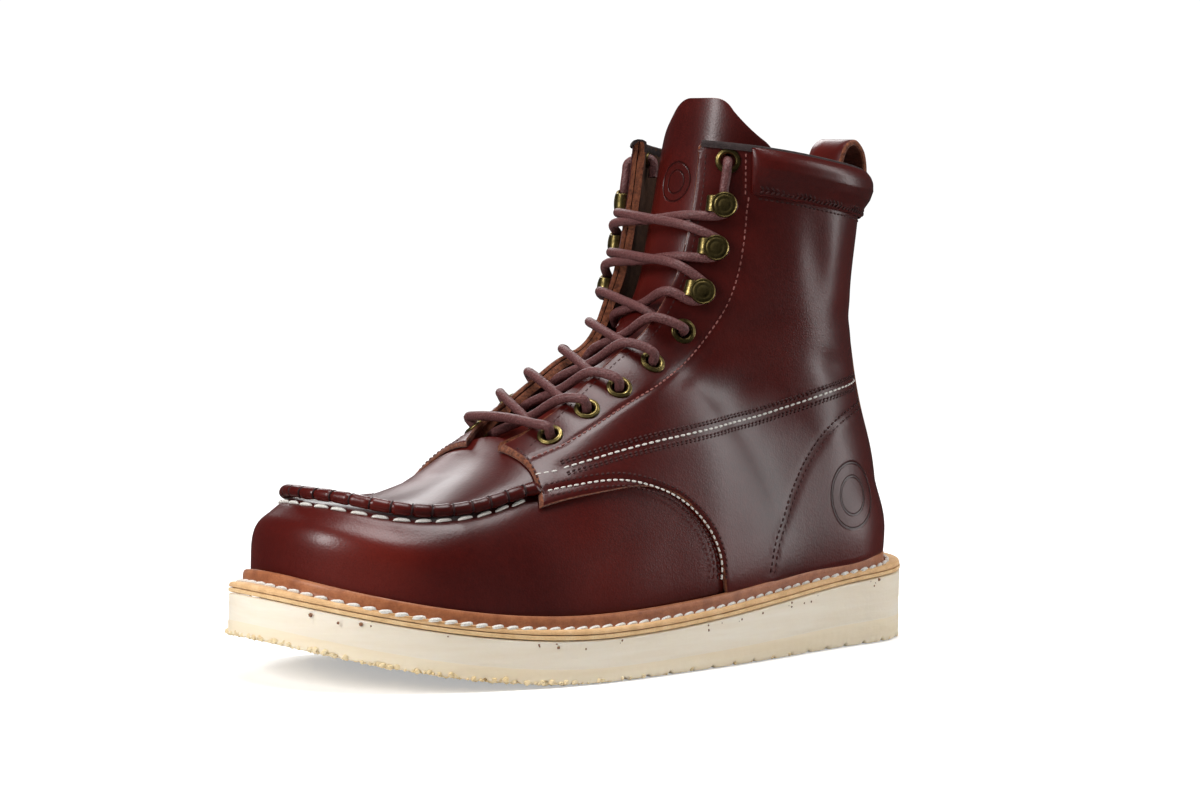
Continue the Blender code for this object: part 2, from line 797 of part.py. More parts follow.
def make_quarter(name, side):
    """Outer panel of one side: heel to eyestay edge, cut along the arch and the tab."""
    grid = half_grid(side)[1:, :LACE_COLUMNS + 3].copy()
    grid[:, 0, 1] += side * 0.2 * MM
    low = np.full(grid.shape[:2], PANEL_GAP)
    points, faces = shell(shift(grid, low + PANEL_THICK), shift(grid, low), False)
    panel = add_solid(name, points, faces, LEATHER)
    y_low, y_high = sorted((side * 8.0 * MM, side * 80.0 * MM))
    front = prism("front_cut", front_outline(), y_low, y_high)
    edge = eyestay_line(side, np.array([1.0]))[0][1]
    y_low, y_high = sorted((-side * 5.0 * MM, edge))
    throat = [(0.668 * SOLE_LENGTH, 0.3 * SHAFT_HEIGHT), (0.9 * SOLE_LENGTH, 0.3 * SHAFT_HEIGHT),
              (0.9 * SOLE_LENGTH, 0.6 * SHAFT_HEIGHT), (0.668 * SOLE_LENGTH, 0.6 * SHAFT_HEIGHT)]
    gap = prism("throat_cut", throat, y_low, y_high)
    combine(panel, [front, gap], "DIFFERENCE")
    return panel


CUFF_HEIGHT = 21.0 * MM
CUFF_END = 0.85


def make_collar():
    """Padded roll round the back and sides of the top edge."""
    share = np.linspace(0.0, CUFF_END, 12)
    rows = 5
    halves = []
    for side in (1.0, -1.0):
        lines = []
        for i in range(rows):
            drop = CUFF_HEIGHT * (1.0 - i / (rows - 1.0))
            lines.append(collar_line(side, share, drop))
        halves.append(np.stack(lines))
    grid = np.concatenate([halves[1][:, :0:-1], halves[0]], axis=1)
    columns = grid.shape[1]
    base = PANEL_GAP + PANEL_THICK + TRIM_GAP
    swell = np.array([0.9, 3.0, 3.9, 3.5, 1.5]) * MM
    edge = np.clip(np.minimum(np.arange(columns), np.arange(columns)[::-1]) / 2.0, 0.0, 1.0)
    swell = swell[:, None] * (0.45 + 0.55 * edge[None, :])
    outer = shift(grid, base + swell)
    inner = shift(grid, np.full(grid.shape[:2], base))
    points, faces = shell(outer, inner, False)
    add_solid("collar", points, faces, LEATHER)


def back_line(side, low, high, count):
    """Line up the back of the heel, just beside the middle."""
    height = np.linspace(low, high, count)
    start = np.stack([np.full(count, 70.0 * MM), np.full(count, 0.3 * MM + side * 0.4 * MM), height], axis=-1)
    heading = np.zeros((count, 3))
    heading[:, 0] = -1.0
    return cast(start, heading)


def make_backstay():
    """Strip down the back of the heel over the join of the two quarters."""
    rows = 10
    columns = 6
    spread = np.linspace(-1.0, 1.0, columns)
    height = np.linspace(39.5 * MM, 0.936 * SHAFT_HEIGHT - CUFF_HEIGHT - 1.0 * MM, rows)
    width = np.interp(height, [39.5 * MM, 90.0 * MM, 170.0 * MM], [15.0 * MM, 12.0 * MM, 11.0 * MM])
    start = np.zeros((rows, columns, 3))
    start[..., 0] = 70.0 * MM
    start[..., 1] = 0.5 * MM + spread[None, :] * width[:, None]
    start[..., 2] = height[:, None]
    heading = np.zeros((rows, columns, 3))
    heading[..., 0] = -1.0
    grid = cast(start, heading)
    base = PANEL_GAP + PANEL_THICK + TRIM_GAP
    low = np.full(grid.shape[:2], base)
    points, faces = shell(shift(grid, low + 1.5 * MM), shift(grid, low), False)
    add_solid("backstay", points, faces, LEATHER)


def make_pull_loop():
    """Folded strap standing up from the back of the collar."""
    top = 0.936 * SHAFT_HEIGHT
    back = back_line(0.0, top - 20.0 * MM, top, 2)
    middle = back[1][0]
    # distance ahead of the collar's back and height above its top, in mm
    offsets = (
        (-7.4, -17.0),
        (-8.8, -9.0),
        (-8.2, -1.0),
        (-7.4, 5.0),
        (-5.6, 11.0),
        (-1.6, 14.6),
        (2.8, 11.5),
        (5.0, 5.0),
        (5.7, -2.0),
        (6.2, -14.0),
    )
    path = np.array([(middle + a * MM, top + b * MM) for a, b in offsets])
    ahead = np.gradient(path, axis=0)
    ahead = ahead / np.linalg.norm(ahead, axis=1, keepdims=True)
    out = np.stack([-ahead[:, 1], ahead[:, 0]], axis=-1)
    half = 1.15 * MM
    width = 10.0 * MM
    sections = []
    for i in range(len(path)):
        a = path[i] + out[i] * half
        b = path[i] - out[i] * half
        sections.append([(a[0], -width, a[1]), (a[0], width, a[1]), (b[0], width, b[1]), (b[0], -width, b[1])])
    points, faces = swept_ring(np.array(sections), False)
    add_solid("pull_loop", points, faces, LEATHER)


TONGUE_THICK = 2.2 * MM


# middle line: along (sole length), height (shaft height); drop below the surface at the middle
# and at the edges, and reach to each side, in mm
TONGUE_COLUMNS = ("along", "height", "drop", "edge_drop", "outer", "inner")
TONGUE_ROWS = (
    (0.6984, 0.4138, 4.0, 3.8, 15.0, 15.0),
    (0.6656, 0.4335, 7.4, 5.8, 20.0, 20.0),
    (0.6230, 0.4729, 9.4, 7.0, 24.0, 23.0),
    (0.5770, 0.5222, 9.6, 7.2, 26.0, 25.0),
    (0.5311, 0.5764, 9.4, 7.0, 27.0, 26.0),
    (0.4885, 0.6355, 9.6, 7.0, 28.0, 26.5),
    (0.4590, 0.6897, 9.6, 7.0, 29.0, 27.0),
    (0.4393, 0.7488, 9.6, 7.2, 30.0, 27.5),
    (0.4230, 0.8177, 9.8, 7.4, 32.0, 27.5),
    (0.4131, 0.8966, 10.2, 8.0, 35.0, 27.0),
    (0.4033, 0.9704, 10.8, 9.0, 38.0, 26.0),
    (0.3967, 1.0450, 11.4, 10.4, 37.0, 24.0),
    (0.3930, 1.0920, 12.0, 12.0, 31.0, 18.5),
)


def tongue_grid():
    """Sheet following the front ridge from under the apron to above the collar."""
    rows = np.asarray(TONGUE_ROWS, float)
    columns = 9
    spread = np.linspace(-1.0, 1.0, columns)
    count = len(rows)
    grid = np.zeros((count, columns, 3))
    for i in range(count):
        reach = np.where(spread > 0.0, rows[i, 4], rows[i, 5]) * MM
        above = max(i - 9, 0) / 3.0
        fall = np.where(spread > 0.0, 13.0, 9.0) * MM * np.abs(spread) ** 1.7 * above
        grid[i, :, 0] = rows[i, 0] * SOLE_LENGTH
        grid[i, :, 1] = LACING_MIDDLE + spread * reach
        grid[i, :, 2] = rows[i, 1] * SHAFT_HEIGHT - fall
        lean = np.clip((i - 5) / 3.0, 0.0, 1.0)
        grid[i] = settle(grid[i], (0.15 + 0.85 * lean, 0.0, 1.0 - lean))
    middle = rows[:, 2:3] * MM
    edge = rows[:, 3:4] * MM
    drop = middle + (edge - middle) * spread[None, :] ** 2
    return grid, drop


def make_tongue():
    grid, drop = tongue_grid()
    outer = shift(grid, -drop)
    inner = shift(grid, -drop - TONGUE_THICK)
    points, faces = shell(outer, inner, False)
    add_solid("tongue", points, faces, LEATHER)


def make_moc_seam():
    """Rolled ridge round the toe on the seam line."""
    start = 0.16
    line = np.concatenate([seam_line(1.0, np.linspace(start, 1.0, 15)),
                           seam_line(-1.0, np.linspace(1.0, start, 15))[1:]])
    n = normals(line)
    ahead = np.gradient(line, axis=0)
    ahead = ahead / np.linalg.norm(ahead, axis=1, keepdims=True)
    side = np.cross(n, ahead)
    corners = ((-2.5, 0.45), (-2.4, 2.2), (-1.0, 3.9), (1.0, 3.9), (2.4, 2.2), (2.5, 0.45))
    sections = np.stack([line + side * a * MM + n * b * MM for a, b in corners], axis=1)
    points, faces = swept_ring(sections, False)
    add_solid("moc_seam", points, faces, LEATHER)


# along (sole length), aside (ball width), height (shaft height), hook 1 or eyelet 0; throat upward
# inner_extra: how much further round the inner side the fitting sits (ball width)
FITTING_COLUMNS = ("along", "aside", "height", "hook", "inner_extra")
FITTING_ROWS = (
    (0.6397, 0.213, 0.4399, 0, 0.000),
    (0.5882, 0.233, 0.4877, 0, 0.000),
    (0.5407, 0.246, 0.5271, 0, 0.000),
    (0.4856, 0.241, 0.5744, 0, 0.005),
    (0.4311, 0.231, 0.6345, 0, 0.014),
    (0.4052, 0.237, 0.7074, 1, 0.027),
    (0.3849, 0.247, 0.7936, 1, 0.041),
    (0.3734, 0.254, 0.8768, 1, 0.045),
    (0.3679, 0.256, 0.9631, 0, 0.045),
)


def fitting_places(side):
    rows = np.asarray(FITTING_ROWS, float)
    x = rows[:, 0] * SOLE_LENGTH
    aside = rows[:, 1] + (rows[:, 4] if side < 0.0 else 0.0)
    y = LACING_MIDDLE + side * (aside * BALL_WIDTH - LACING_MIDDLE)
    z = rows[:, 2] * SHAFT_HEIGHT
    return settle(np.stack([x, y, z], axis=-1))


def make_fittings(side, word):
    places = fitting_places(side)
    n = normals(places)
    base = PANEL_GAP + PANEL_THICK + FITTING_SEAT
    eyelet = [
        (EYELET_HOLE, 0.0, 0.0),
        (EYELET_RADIUS, 0.0, 0.0),
        (EYELET_RADIUS - 0.5 * MM, EYELET_THICK, 0.0),
        (EYELET_HOLE + 0.4 * MM, EYELET_THICK, 0.0),
    ]
    tilt = -1.2 * MM
    hook = [
        (3.4 * MM, 0.0, 0.0),
        (3.4 * MM, 0.8 * MM, 0.0),
        (1.5 * MM, 1.2 * MM, tilt),
        (1.5 * MM, 5.4 * MM, tilt),
        (HOOK_RADIUS, 5.5 * MM, 0.0),
        (HOOK_RADIUS, HOOK_HEIGHT - 0.3 * MM, 0.0),
        (HOOK_RADIUS - 0.6 * MM, HOOK_HEIGHT, 0.0),
    ]
    away = np.array([0.0, side, 0.0])
    for i, row in enumerate(FITTING_ROWS):
        centre = places[i] + n[i] * base
        if row[3]:
            points, faces = turned(centre, n[i], away, hook, 7, False)
            add_solid("hook_%s_%d" % (word, i + 1), points, faces, BRASS)
        else:
            points, faces = turned(centre, n[i], away, eyelet, 9, True)
            add_solid("eyelet_%s_%d" % (word, i + 1), points, faces, BRASS)


def combine(item, others, operation):
    """Exact boolean of one solid with others, which are then removed."""
    for other in others:
        modifier = item.modifiers.new("cut", "BOOLEAN")
        modifier.operation = operation
        modifier.solver = "EXACT"
        modifier.object = other
    bpy.context.view_layer.update()
    graph = bpy.context.evaluated_depsgraph_get()
    mesh = bpy.data.meshes.new_from_object(item.evaluated_get(graph))
    item.modifiers.clear()
    item.data = mesh
    form = bmesh.new()
    form.from_mesh(mesh)
    bmesh.ops.remove_doubles(form, verts=form.verts, dist=0.002 * MM)
    bmesh.ops.triangulate(form, faces=form.faces)
    form.to_mesh(mesh)
    form.free()
    for other in others:
        bpy.data.objects.remove(other)


def pierce(item, side_list):
    """Round holes for the lace under every eyelet."""
    points = []
    faces = []
    for side in side_list:
        places = fitting_places(side)
        n = normals(places)
        for i, row in enumerate(FITTING_ROWS):
            if row[3]:
                continue
            profile = [(EYELET_HOLE, -6.0 * MM, 0.0), (EYELET_HOLE, 6.0 * MM, 0.0)]
            corners, sides = turned(places[i], n[i], np.array([0.0, side, 0.0]), profile, 6, False)
            start = sum(len(group) for group in points)
            points.append(corners)
            faces += [tuple(start + k for k in face) for face in sides]
    cutter = add_solid("punch", np.concatenate(points), faces, BRASS)
    combine(item, [cutter], "DIFFERENCE")


def edge_share(side, place):
    """Share of the eyestay edge level with a fitting."""
    share = np.linspace(0.0, 1.0, 201)
    edge = eyestay_line(side, share)
    gap = np.linalg.norm((edge - place) * np.array([1.0, 0.2, 1.0]), axis=1)
    return share[np.argmin(gap)]


def smooth_path(points, count):
    points = np.asarray(points, float)
    run = np.concatenate([[0.0], np.cumsum(np.linalg.norm(np.diff(points, axis=0), axis=1))])
    at = np.linspace(0.0, run[-1], count)
    return np.column_stack([spline(run, points[:, i], at) for i in range(3)])


def over_surface(point, least):
    """Push points out until they stand at least this far off the surface."""
    p = np.array(point, float)
    for _ in range(4):
        g = slope(p)
        size = np.linalg.norm(g, axis=-1)
        away = boot_form(p) / size
        push = np.maximum(least - away, 0.0)
        p = p + (g / size[..., None]) * push[..., None]
    return p


OUTSIDE = PANEL_GAP + PANEL_THICK
HOOK_REACH = 5.4 * MM
LACE_UNDER = -(WALL + LACE_RADIUS + 0.45 * MM)
LACE_OVER = OUTSIDE + LACE_RADIUS + 1.5 * MM
LACE_AT_HOOK = OUTSIDE + FITTING_SEAT + 3.3 * MM


def edge_point(side, share, inward, level):
    """Point off the eyestay edge, moved toward the gap and off the surface."""
    p = eyestay_line(side, np.array([share]))
    p[:, 1] -= side * inward
    p = settle(p, (1.0, 0.0, 1.0))
    return shift(p, np.array([level]))[0]


def lace_run(side, i):
    """Path from fitting i on one side to fitting i + 1 on the other."""
    near = fitting_places(side)
    far = fitting_places(-side)
    first = edge_share(side, near[i])
    last = edge_share(-side, far[i + 1])
    step = last - first
    points = []
    n_near = normals(near)
    n_far = normals(far)
    up_near = near[i + 1] - near[i]
    up_near = up_near / np.linalg.norm(up_near)
    up_far = far[i + 1] - far[i]
    up_far = up_far / np.linalg.norm(up_far)
    if FITTING_ROWS[i][3]:
        points.append(near[i] + n_near[i] * LACE_AT_HOOK + up_near * HOOK_REACH)
        points.append(edge_point(side, first + 0.25 * step, -1.0 * MM, LACE_OVER + 0.6 * MM))
    else:
        points.append(near[i] + n_near[i] * LACE_UNDER + up_near * 0.6 * MM)
        points.append(edge_point(side, first + 0.16 * step, 3.0 * MM, LACE_UNDER))
    over = LACE_OVER + (0.4 * MM if FITTING_ROWS[i + 1][3] else 0.0)
    if FITTING_ROWS[i + 1][3]:
        crossing = edge_point(-side, first + 0.78 * step, -0.5 * MM, over)
        end = far[i + 1] + n_far[i + 1] * LACE_AT_HOOK - up_far * HOOK_REACH
    else:
        crossing = edge_point(-side, first + 0.88 * step, 0.3 * MM, over)
        end = crossing + (far[i + 1] + n_far[i + 1] * (over + 0.4 * MM) - crossing) * 0.15
    points.append(0.5 * (points[-1] + crossing))
    points.append(crossing)
    points.append(end)
    path = smooth_path(points, 8)
    path[2:-2] = over_surface(path[2:-2], LACE_UNDER)
    return path


def make_laces():
    sides = 5
    ends = []
    for side in (1.0, -1.0):
        place = fitting_places(side)[0]
        ends.append(edge_point(side, edge_share(side, place), 0.8 * MM, LACE_OVER))
    middle = 0.5 * (ends[0] + ends[1]) + np.array([0.0, 0.0, 0.8 * MM])
    path = smooth_path([ends[0], middle, ends[1]], 7)
    points, faces = tube(path, LACE_RADIUS, sides)
    add_solid("lace_bar", points, faces, LACE)
    for i in range(7):
        points, faces = tube(lace_run(1.0, i), LACE_RADIUS, sides)
        first = add_solid("lace_cross_%d" % (i + 1), points, faces, LACE)
        points, faces = tube(lace_run(-1.0, i), LACE_RADIUS, sides)
        second = add_solid("second_run", points, faces, LACE)
        combine(first, [second], "UNION")
    for side, word in ((1.0, "lateral"), (-1.0, "medial")):
        places = fitting_places(side)
        n = normals(places)
        up = places[8] - places[7]
        up = up / np.linalg.norm(up)
        low = places[7] + n[7] * LACE_AT_HOOK + up * HOOK_REACH
        high = places[8] + n[8] * (LACE_OVER + 0.5 * MM) - up * (EYELET_RADIUS + 1.0 * MM)
        points, faces = tube(smooth_path([low, 0.5 * (low + high), high], 4), LACE_RADIUS, sides)
        add_solid("lace_end_%s" % word, points, faces, LACE)


def main():
    for item in list(bpy.data.objects):
        bpy.data.objects.remove(item)
    make_outsole()
    make_midsole()
    make_welt()
    make_insole()
    pierce(make_upper(), (1.0, -1.0))
    pierce(make_quarter("quarter_lateral", 1.0), (1.0,))
    pierce(make_quarter("quarter_medial", -1.0), (-1.0,))
    make_collar()
    make_backstay()
    make_pull_loop()
    make_tongue()
    make_moc_seam()
    make_fittings(1.0, "lateral")
    make_fittings(-1.0, "medial")
    make_laces()


main()
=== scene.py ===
"""Wedge sole work boot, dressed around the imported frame: leather panels, stitches, laces, sole."""

import bmesh
import bpy
import numpy as np
from mathutils import Matrix


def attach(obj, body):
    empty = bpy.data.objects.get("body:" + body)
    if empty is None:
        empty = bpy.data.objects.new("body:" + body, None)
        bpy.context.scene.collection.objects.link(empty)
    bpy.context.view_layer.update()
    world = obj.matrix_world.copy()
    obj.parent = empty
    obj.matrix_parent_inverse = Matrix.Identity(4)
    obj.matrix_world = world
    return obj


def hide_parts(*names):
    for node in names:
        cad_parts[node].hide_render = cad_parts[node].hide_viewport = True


MM = 0.001

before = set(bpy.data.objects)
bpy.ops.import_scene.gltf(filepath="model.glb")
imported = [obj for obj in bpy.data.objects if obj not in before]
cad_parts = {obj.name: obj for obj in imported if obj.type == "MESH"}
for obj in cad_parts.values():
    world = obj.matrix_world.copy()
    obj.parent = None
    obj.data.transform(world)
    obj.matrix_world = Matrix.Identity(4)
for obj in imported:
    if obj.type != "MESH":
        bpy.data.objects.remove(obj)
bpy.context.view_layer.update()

# Driving sizes
SOLE_LENGTH = 305.0 * MM
BALL_WIDTH = 110.6 * MM
INSTEP_HEIGHT = 130.0 * MM
SHAFT_HEIGHT = 203.0 * MM
HEEL_STACK = 28.0 * MM

# Sole
TOE_SPRING = 16.5 * MM
SPRING_START = 0.62
HEEL_CAP = 37.0 * MM
TOE_CAP = 59.0 * MM
MIDSOLE_THICK = 2.0 * MM
WELT_THICK = 2.0 * MM
WELT_LIP = 4.6 * MM
SEAT_GAP = 0.3 * MM
WELT_CLEAR = 0.6 * MM
TREAD_PITCH = 12.0 * MM
TREAD_DEPTH = 1.4 * MM
TREAD_START = 10.0 * MM
TREAD_END = 297.0 * MM
# Half a groove as a share of the tread's pitch
GROOVE_HALF = 0.13
# Length of the way round the sole, in metres
SOLE_ROUND = 0.74

# Leather
WALL = 2.2 * MM
PANEL_GAP = 0.35 * MM
PANEL_THICK = 1.9 * MM
OUTSIDE = PANEL_GAP + PANEL_THICK
BLEND = 13.0 * MM
TOE_FRONT = 295.5 * MM
TOE_DEPTH = 54.0 * MM
HEEL_BACK = 13.0 * MM
HEEL_DEPTH = 29.0 * MM
PLAN_POWER = 2.3
WIDEST_ABOVE_WELT = 12.0 * MM
TAPER_BELOW = 44.0 * MM
SHAFT_POWER = 2.25
SHAFT_WIDEST = 0.46
# Sizes in mm that turn the two forms' shares into rough distances
FOOT_SCALE = 42.0
SHAFT_SCALE = 38.0
# Ends of the foot's middle line, from which its sections spread
SPINE_BACK = 46.0 * MM
SPINE_FRONT = 238.0 * MM
# A place along the sole inside the shaft
SHAFT_INSIDE = 70.0 * MM

# Lacing
EYELET_HOLE = 2.9 * MM
LACE_RADIUS = 1.9 * MM
LACING_MIDDLE = 0.8 * MM

# along (share of sole length), centre and half width (shares of ball width)
SOLE_COLUMNS = ("along", "centre", "half_width")
SOLE_ROWS = (
    (0.00, 0.000, 0.337),
    (0.12, 0.005, 0.337),
    (0.35, 0.033, 0.411),
    (0.52, 0.033, 0.466),
    (0.66, 0.014, 0.499),
    (0.80, -0.050, 0.486),
    (0.90, -0.099, 0.457),
    (1.00, -0.136, 0.429),
)

# along (share of sole length), thickness of the wedge (share of heel stack)
WEDGE_COLUMNS = ("along", "thickness")
WEDGE_ROWS = (
    (0.00, 1.021),
    (0.15, 0.929),
    (0.35, 0.750),
    (0.52, 0.618),
    (0.66, 0.586),
    (0.82, 0.579),
    (1.00, 0.557),
)

# along (share of sole length), centre and half width (ball width), crest (instep height)
# square: exponent of the section, higher is boxier
FOOT_COLUMNS = ("along", "centre", "half_width", "crest", "square")
FOOT_ROWS = (
    (0.02, 0.005, 0.262, 0.462, 2.25),
    (0.12, 0.005, 0.271, 0.569, 2.20),
    (0.26, 0.023, 0.312, 0.754, 2.15),
    (0.36, 0.031, 0.357, 0.931, 2.10),
    (0.44, 0.033, 0.389, 1.000, 2.10),
    (0.50, 0.029, 0.407, 0.973, 2.10),
    (0.56, 0.024, 0.425, 0.873, 2.12),
    (0.62, 0.014, 0.439, 0.765, 2.20),
    (0.68, -0.002, 0.450, 0.654, 2.32),
    (0.73, -0.018, 0.452, 0.592, 2.60),
    (0.79, -0.045, 0.447, 0.537, 2.90),
    (0.85, -0.074, 0.438, 0.519, 3.05),
    (0.92, -0.105, 0.425, 0.536, 3.30),
    (1.00, -0.136, 0.411, 0.585, 3.50),
)

# height (share of shaft height), back and front (sole length), half width (ball width)
SHAFT_COLUMNS = ("height", "back", "front", "half_width")
SHAFT_ROWS = (
    (0.148, 0.0475, 0.3279, 0.271),
    (0.236, 0.0433, 0.3541, 0.280),
    (0.305, 0.0472, 0.3738, 0.285),
    (0.374, 0.0551, 0.3934, 0.285),
    (0.433, 0.0675, 0.4164, 0.280),
    (0.493, 0.0807, 0.4361, 0.280),
    (0.596, 0.0957, 0.4590, 0.289),
    (0.665, 0.1036, 0.4607, 0.304),
    (0.739, 0.1069, 0.4410, 0.320),
    (0.813, 0.1049, 0.4246, 0.335),
    (0.887, 0.1016, 0.4131, 0.346),
    (1.000, 0.0984, 0.4016, 0.362),
    (1.108, 0.0967, 0.3934, 0.371),
)

# share: along the edge from collar corner to throat; along (sole length), height (shaft height)
EYESTAY_COLUMNS = ("share", "along", "height", "half_gap")
EYESTAY_ROWS = (
    (0.00, 0.3869, 0.9990, 0.172),
    (0.09, 0.3879, 0.9335, 0.176),
    (0.18, 0.3928, 0.8665, 0.176),
    (0.29, 0.4046, 0.7901, 0.172),
    (0.38, 0.4216, 0.7315, 0.168),
    (0.48, 0.4541, 0.6700, 0.164),
    (0.57, 0.4902, 0.6182, 0.162),
    (0.68, 0.5377, 0.5665, 0.162),
    (0.79, 0.5869, 0.5222, 0.163),
    (0.90, 0.6393, 0.4803, 0.165),
    (1.00, 0.6869, 0.4399, 0.168),
)

# share: along the arch from the welt to the tab; along (sole length), height (shaft height)
ARCH_COLUMNS = ("share", "along", "height")
ARCH_ROWS = (
    (0.00, 0.4108, 0.1517),
    (0.15, 0.4262, 0.2305),
    (0.32, 0.4652, 0.3005),
    (0.41, 0.4918, 0.3300),
    (0.51, 0.5328, 0.3493),
    (0.67, 0.5902, 0.3488),
    (0.82, 0.6462, 0.3369),
    (1.00, 0.7010, 0.3192),
)

# height (share of shaft height), along (share of sole length) of the tab's front edge
TAB_COLUMNS = ("height", "along")
TAB_ROWS = (
    (0.3192, 0.7010),
    (0.3520, 0.6918),
    (0.3840, 0.6846),
    (0.4160, 0.6860),
    (0.4400, 0.6869),
)

# share: along the collar from the back to its front corner; height (shaft height)
COLLAR_COLUMNS = ("share", "height")
COLLAR_ROWS = (
    (0.00, 0.936),
    (0.30, 0.950),
    (0.60, 0.972),
    (0.85, 0.990),
    (1.00, 0.998),
)
COLLAR_BACK = COLLAR_ROWS[0][1] * SHAFT_HEIGHT


def spline(knots, values, at):
    """Natural cubic spline through the knots, held at the ends."""
    knots = np.asarray(knots, float)
    values = np.asarray(values, float)
    count = len(knots)
    step = np.diff(knots)
    matrix = np.eye(count)
    right = np.zeros(count)
    for i in range(1, count - 1):
        matrix[i, i - 1] = step[i - 1]
        matrix[i, i] = 2.0 * (step[i - 1] + step[i])
        matrix[i, i + 1] = step[i]
        rise = (values[i + 1] - values[i]) / step[i]
        fall = (values[i] - values[i - 1]) / step[i - 1]
        right[i] = 6.0 * (rise - fall)
    bend = np.linalg.solve(matrix, right)
    at = np.clip(np.asarray(at, float), knots[0], knots[-1])
    i = np.clip(np.searchsorted(knots, at) - 1, 0, count - 2)
    a = (knots[i + 1] - at) / step[i]
    b = (at - knots[i]) / step[i]
    cubic = ((a ** 3 - a) * bend[i] + (b ** 3 - b) * bend[i + 1]) * step[i] ** 2 / 6.0
    return a * values[i] + b * values[i + 1] + cubic


def look_up(columns, rows, name, at):
    """Value of a named column at a place given in the first column."""
    table = np.asarray(rows, float)
    return spline(table[:, 0], table[:, columns.index(name)], at)


def cap(reach, power):
    """Superellipse closing a form: 1 at reach 0, 0 at reach 1."""
    return (1.0 - np.clip(reach, 0.0, 1.0) ** power) ** (1.0 / power)


# Sole lines; x here is measured from the heel end of the sole

def sole_centre(x):
    return look_up(SOLE_COLUMNS, SOLE_ROWS, "centre", x / SOLE_LENGTH) * BALL_WIDTH


def sole_half_width(x):
    width = look_up(SOLE_COLUMNS, SOLE_ROWS, "half_width", x / SOLE_LENGTH) * BALL_WIDTH
    heel = cap((HEEL_CAP - x) / HEEL_CAP, 2.3)
    toe = cap((x - SOLE_LENGTH + TOE_CAP) / TOE_CAP, 2.2)
    return width * heel * toe


def sole_bottom(x):
    run = np.clip((x / SOLE_LENGTH - SPRING_START) / (1.0 - SPRING_START), 0.0, 1.0)
    return TOE_SPRING * run ** 2


def wedge_top(x):
    share = look_up(WEDGE_COLUMNS, WEDGE_ROWS, "thickness", x / SOLE_LENGTH)
    return sole_bottom(x) + share * HEEL_STACK


def midsole_top(x):
    return wedge_top(x) + MIDSOLE_THICK


def ledge_top(x):
    return midsole_top(x) + WELT_THICK


def lip_top(x):
    return ledge_top(x) + WELT_LIP


# Surface function: below 0 inside, above 0 outside

def foot_form(p):
    x = p[..., 0]
    y = p[..., 1]
    z = p[..., 2]
    s = np.clip(x / SOLE_LENGTH, 0.02, 1.0)
    centre = look_up(FOOT_COLUMNS, FOOT_ROWS, "centre", s) * BALL_WIDTH
    width = look_up(FOOT_COLUMNS, FOOT_ROWS, "half_width", s) * BALL_WIDTH
    crest = look_up(FOOT_COLUMNS, FOOT_ROWS, "crest", s) * INSTEP_HEIGHT
    square = look_up(FOOT_COLUMNS, FOOT_ROWS, "square", s)
    widest = ledge_top(np.clip(x, 0.0, SOLE_LENGTH)) + WIDEST_ABOVE_WELT
    above = np.abs(z - widest) / (crest - widest)
    below = np.abs(widest - z) / TAPER_BELOW
    rise = np.where(z > widest, above, below)
    toe = np.clip((x - TOE_FRONT + TOE_DEPTH) / TOE_DEPTH, 0.0, None)
    heel = np.clip((HEEL_BACK + HEEL_DEPTH - x) / HEEL_DEPTH, 0.0, None)
    aside = np.abs(y - centre) / width
    plan = (aside ** PLAN_POWER + toe ** PLAN_POWER + heel ** PLAN_POWER) ** (1.0 / PLAN_POWER)
    norm = (plan ** square + rise ** square) ** (1.0 / square)
    return (norm - 1.0) * FOOT_SCALE * MM


def shaft_form(p):
    x = p[..., 0]
    y = p[..., 1]
    z = p[..., 2]
    h = z / SHAFT_HEIGHT
    back = look_up(SHAFT_COLUMNS, SHAFT_ROWS, "back", h) * SOLE_LENGTH
    front = look_up(SHAFT_COLUMNS, SHAFT_ROWS, "front", h) * SOLE_LENGTH
    width = look_up(SHAFT_COLUMNS, SHAFT_ROWS, "half_width", h) * BALL_WIDTH
    middle = back + SHAFT_WIDEST * (front - back)
    ahead = np.where(x > middle, (x - middle) / (front - middle), (middle - x) / (middle - back))
    aside = np.abs(y - 1.0 * MM) / width
    norm = (ahead ** SHAFT_POWER + aside ** SHAFT_POWER) ** (1.0 / SHAFT_POWER)
    return (norm - 1.0) * SHAFT_SCALE * MM


def boot_form(p):
    foot = foot_form(p)
    shaft = shaft_form(p)
    share = np.clip(0.5 + 0.5 * (shaft - foot) / BLEND, 0.0, 1.0)
    return shaft * (1.0 - share) + foot * share - BLEND * share * (1.0 - share)


def slope(p):
    step = 0.2 * MM
    result = np.zeros_like(p)
    for axis in range(3):
        move = np.zeros(3)
        move[axis] = step
        result[..., axis] = (boot_form(p + move) - boot_form(p - move)) / (2.0 * step)
    return result


def settle(points, free=(1.0, 1.0, 1.0)):
    """Slide guessed points onto the surface, moving only along the free axes."""
    p = np.array(points, float)
    free = np.asarray(free, float)
    for _ in range(16):
        value = boot_form(p)
        g = slope(p) * free
        size = np.maximum((g ** 2).sum(-1), 1e-4)
        move = -(value / size)[..., None] * g
        length = np.linalg.norm(move, axis=-1, keepdims=True)
        p = p + move * np.minimum(1.0, 8.0 * MM / np.maximum(length, 1e-9))
    return p


def normals(p):
    g = slope(p)
    return g / np.linalg.norm(g, axis=-1, keepdims=True)


def shift(p, distance):
    """Move surface points outward along the surface normal."""
    return p + normals(p) * np.asarray(distance, float)[..., None]


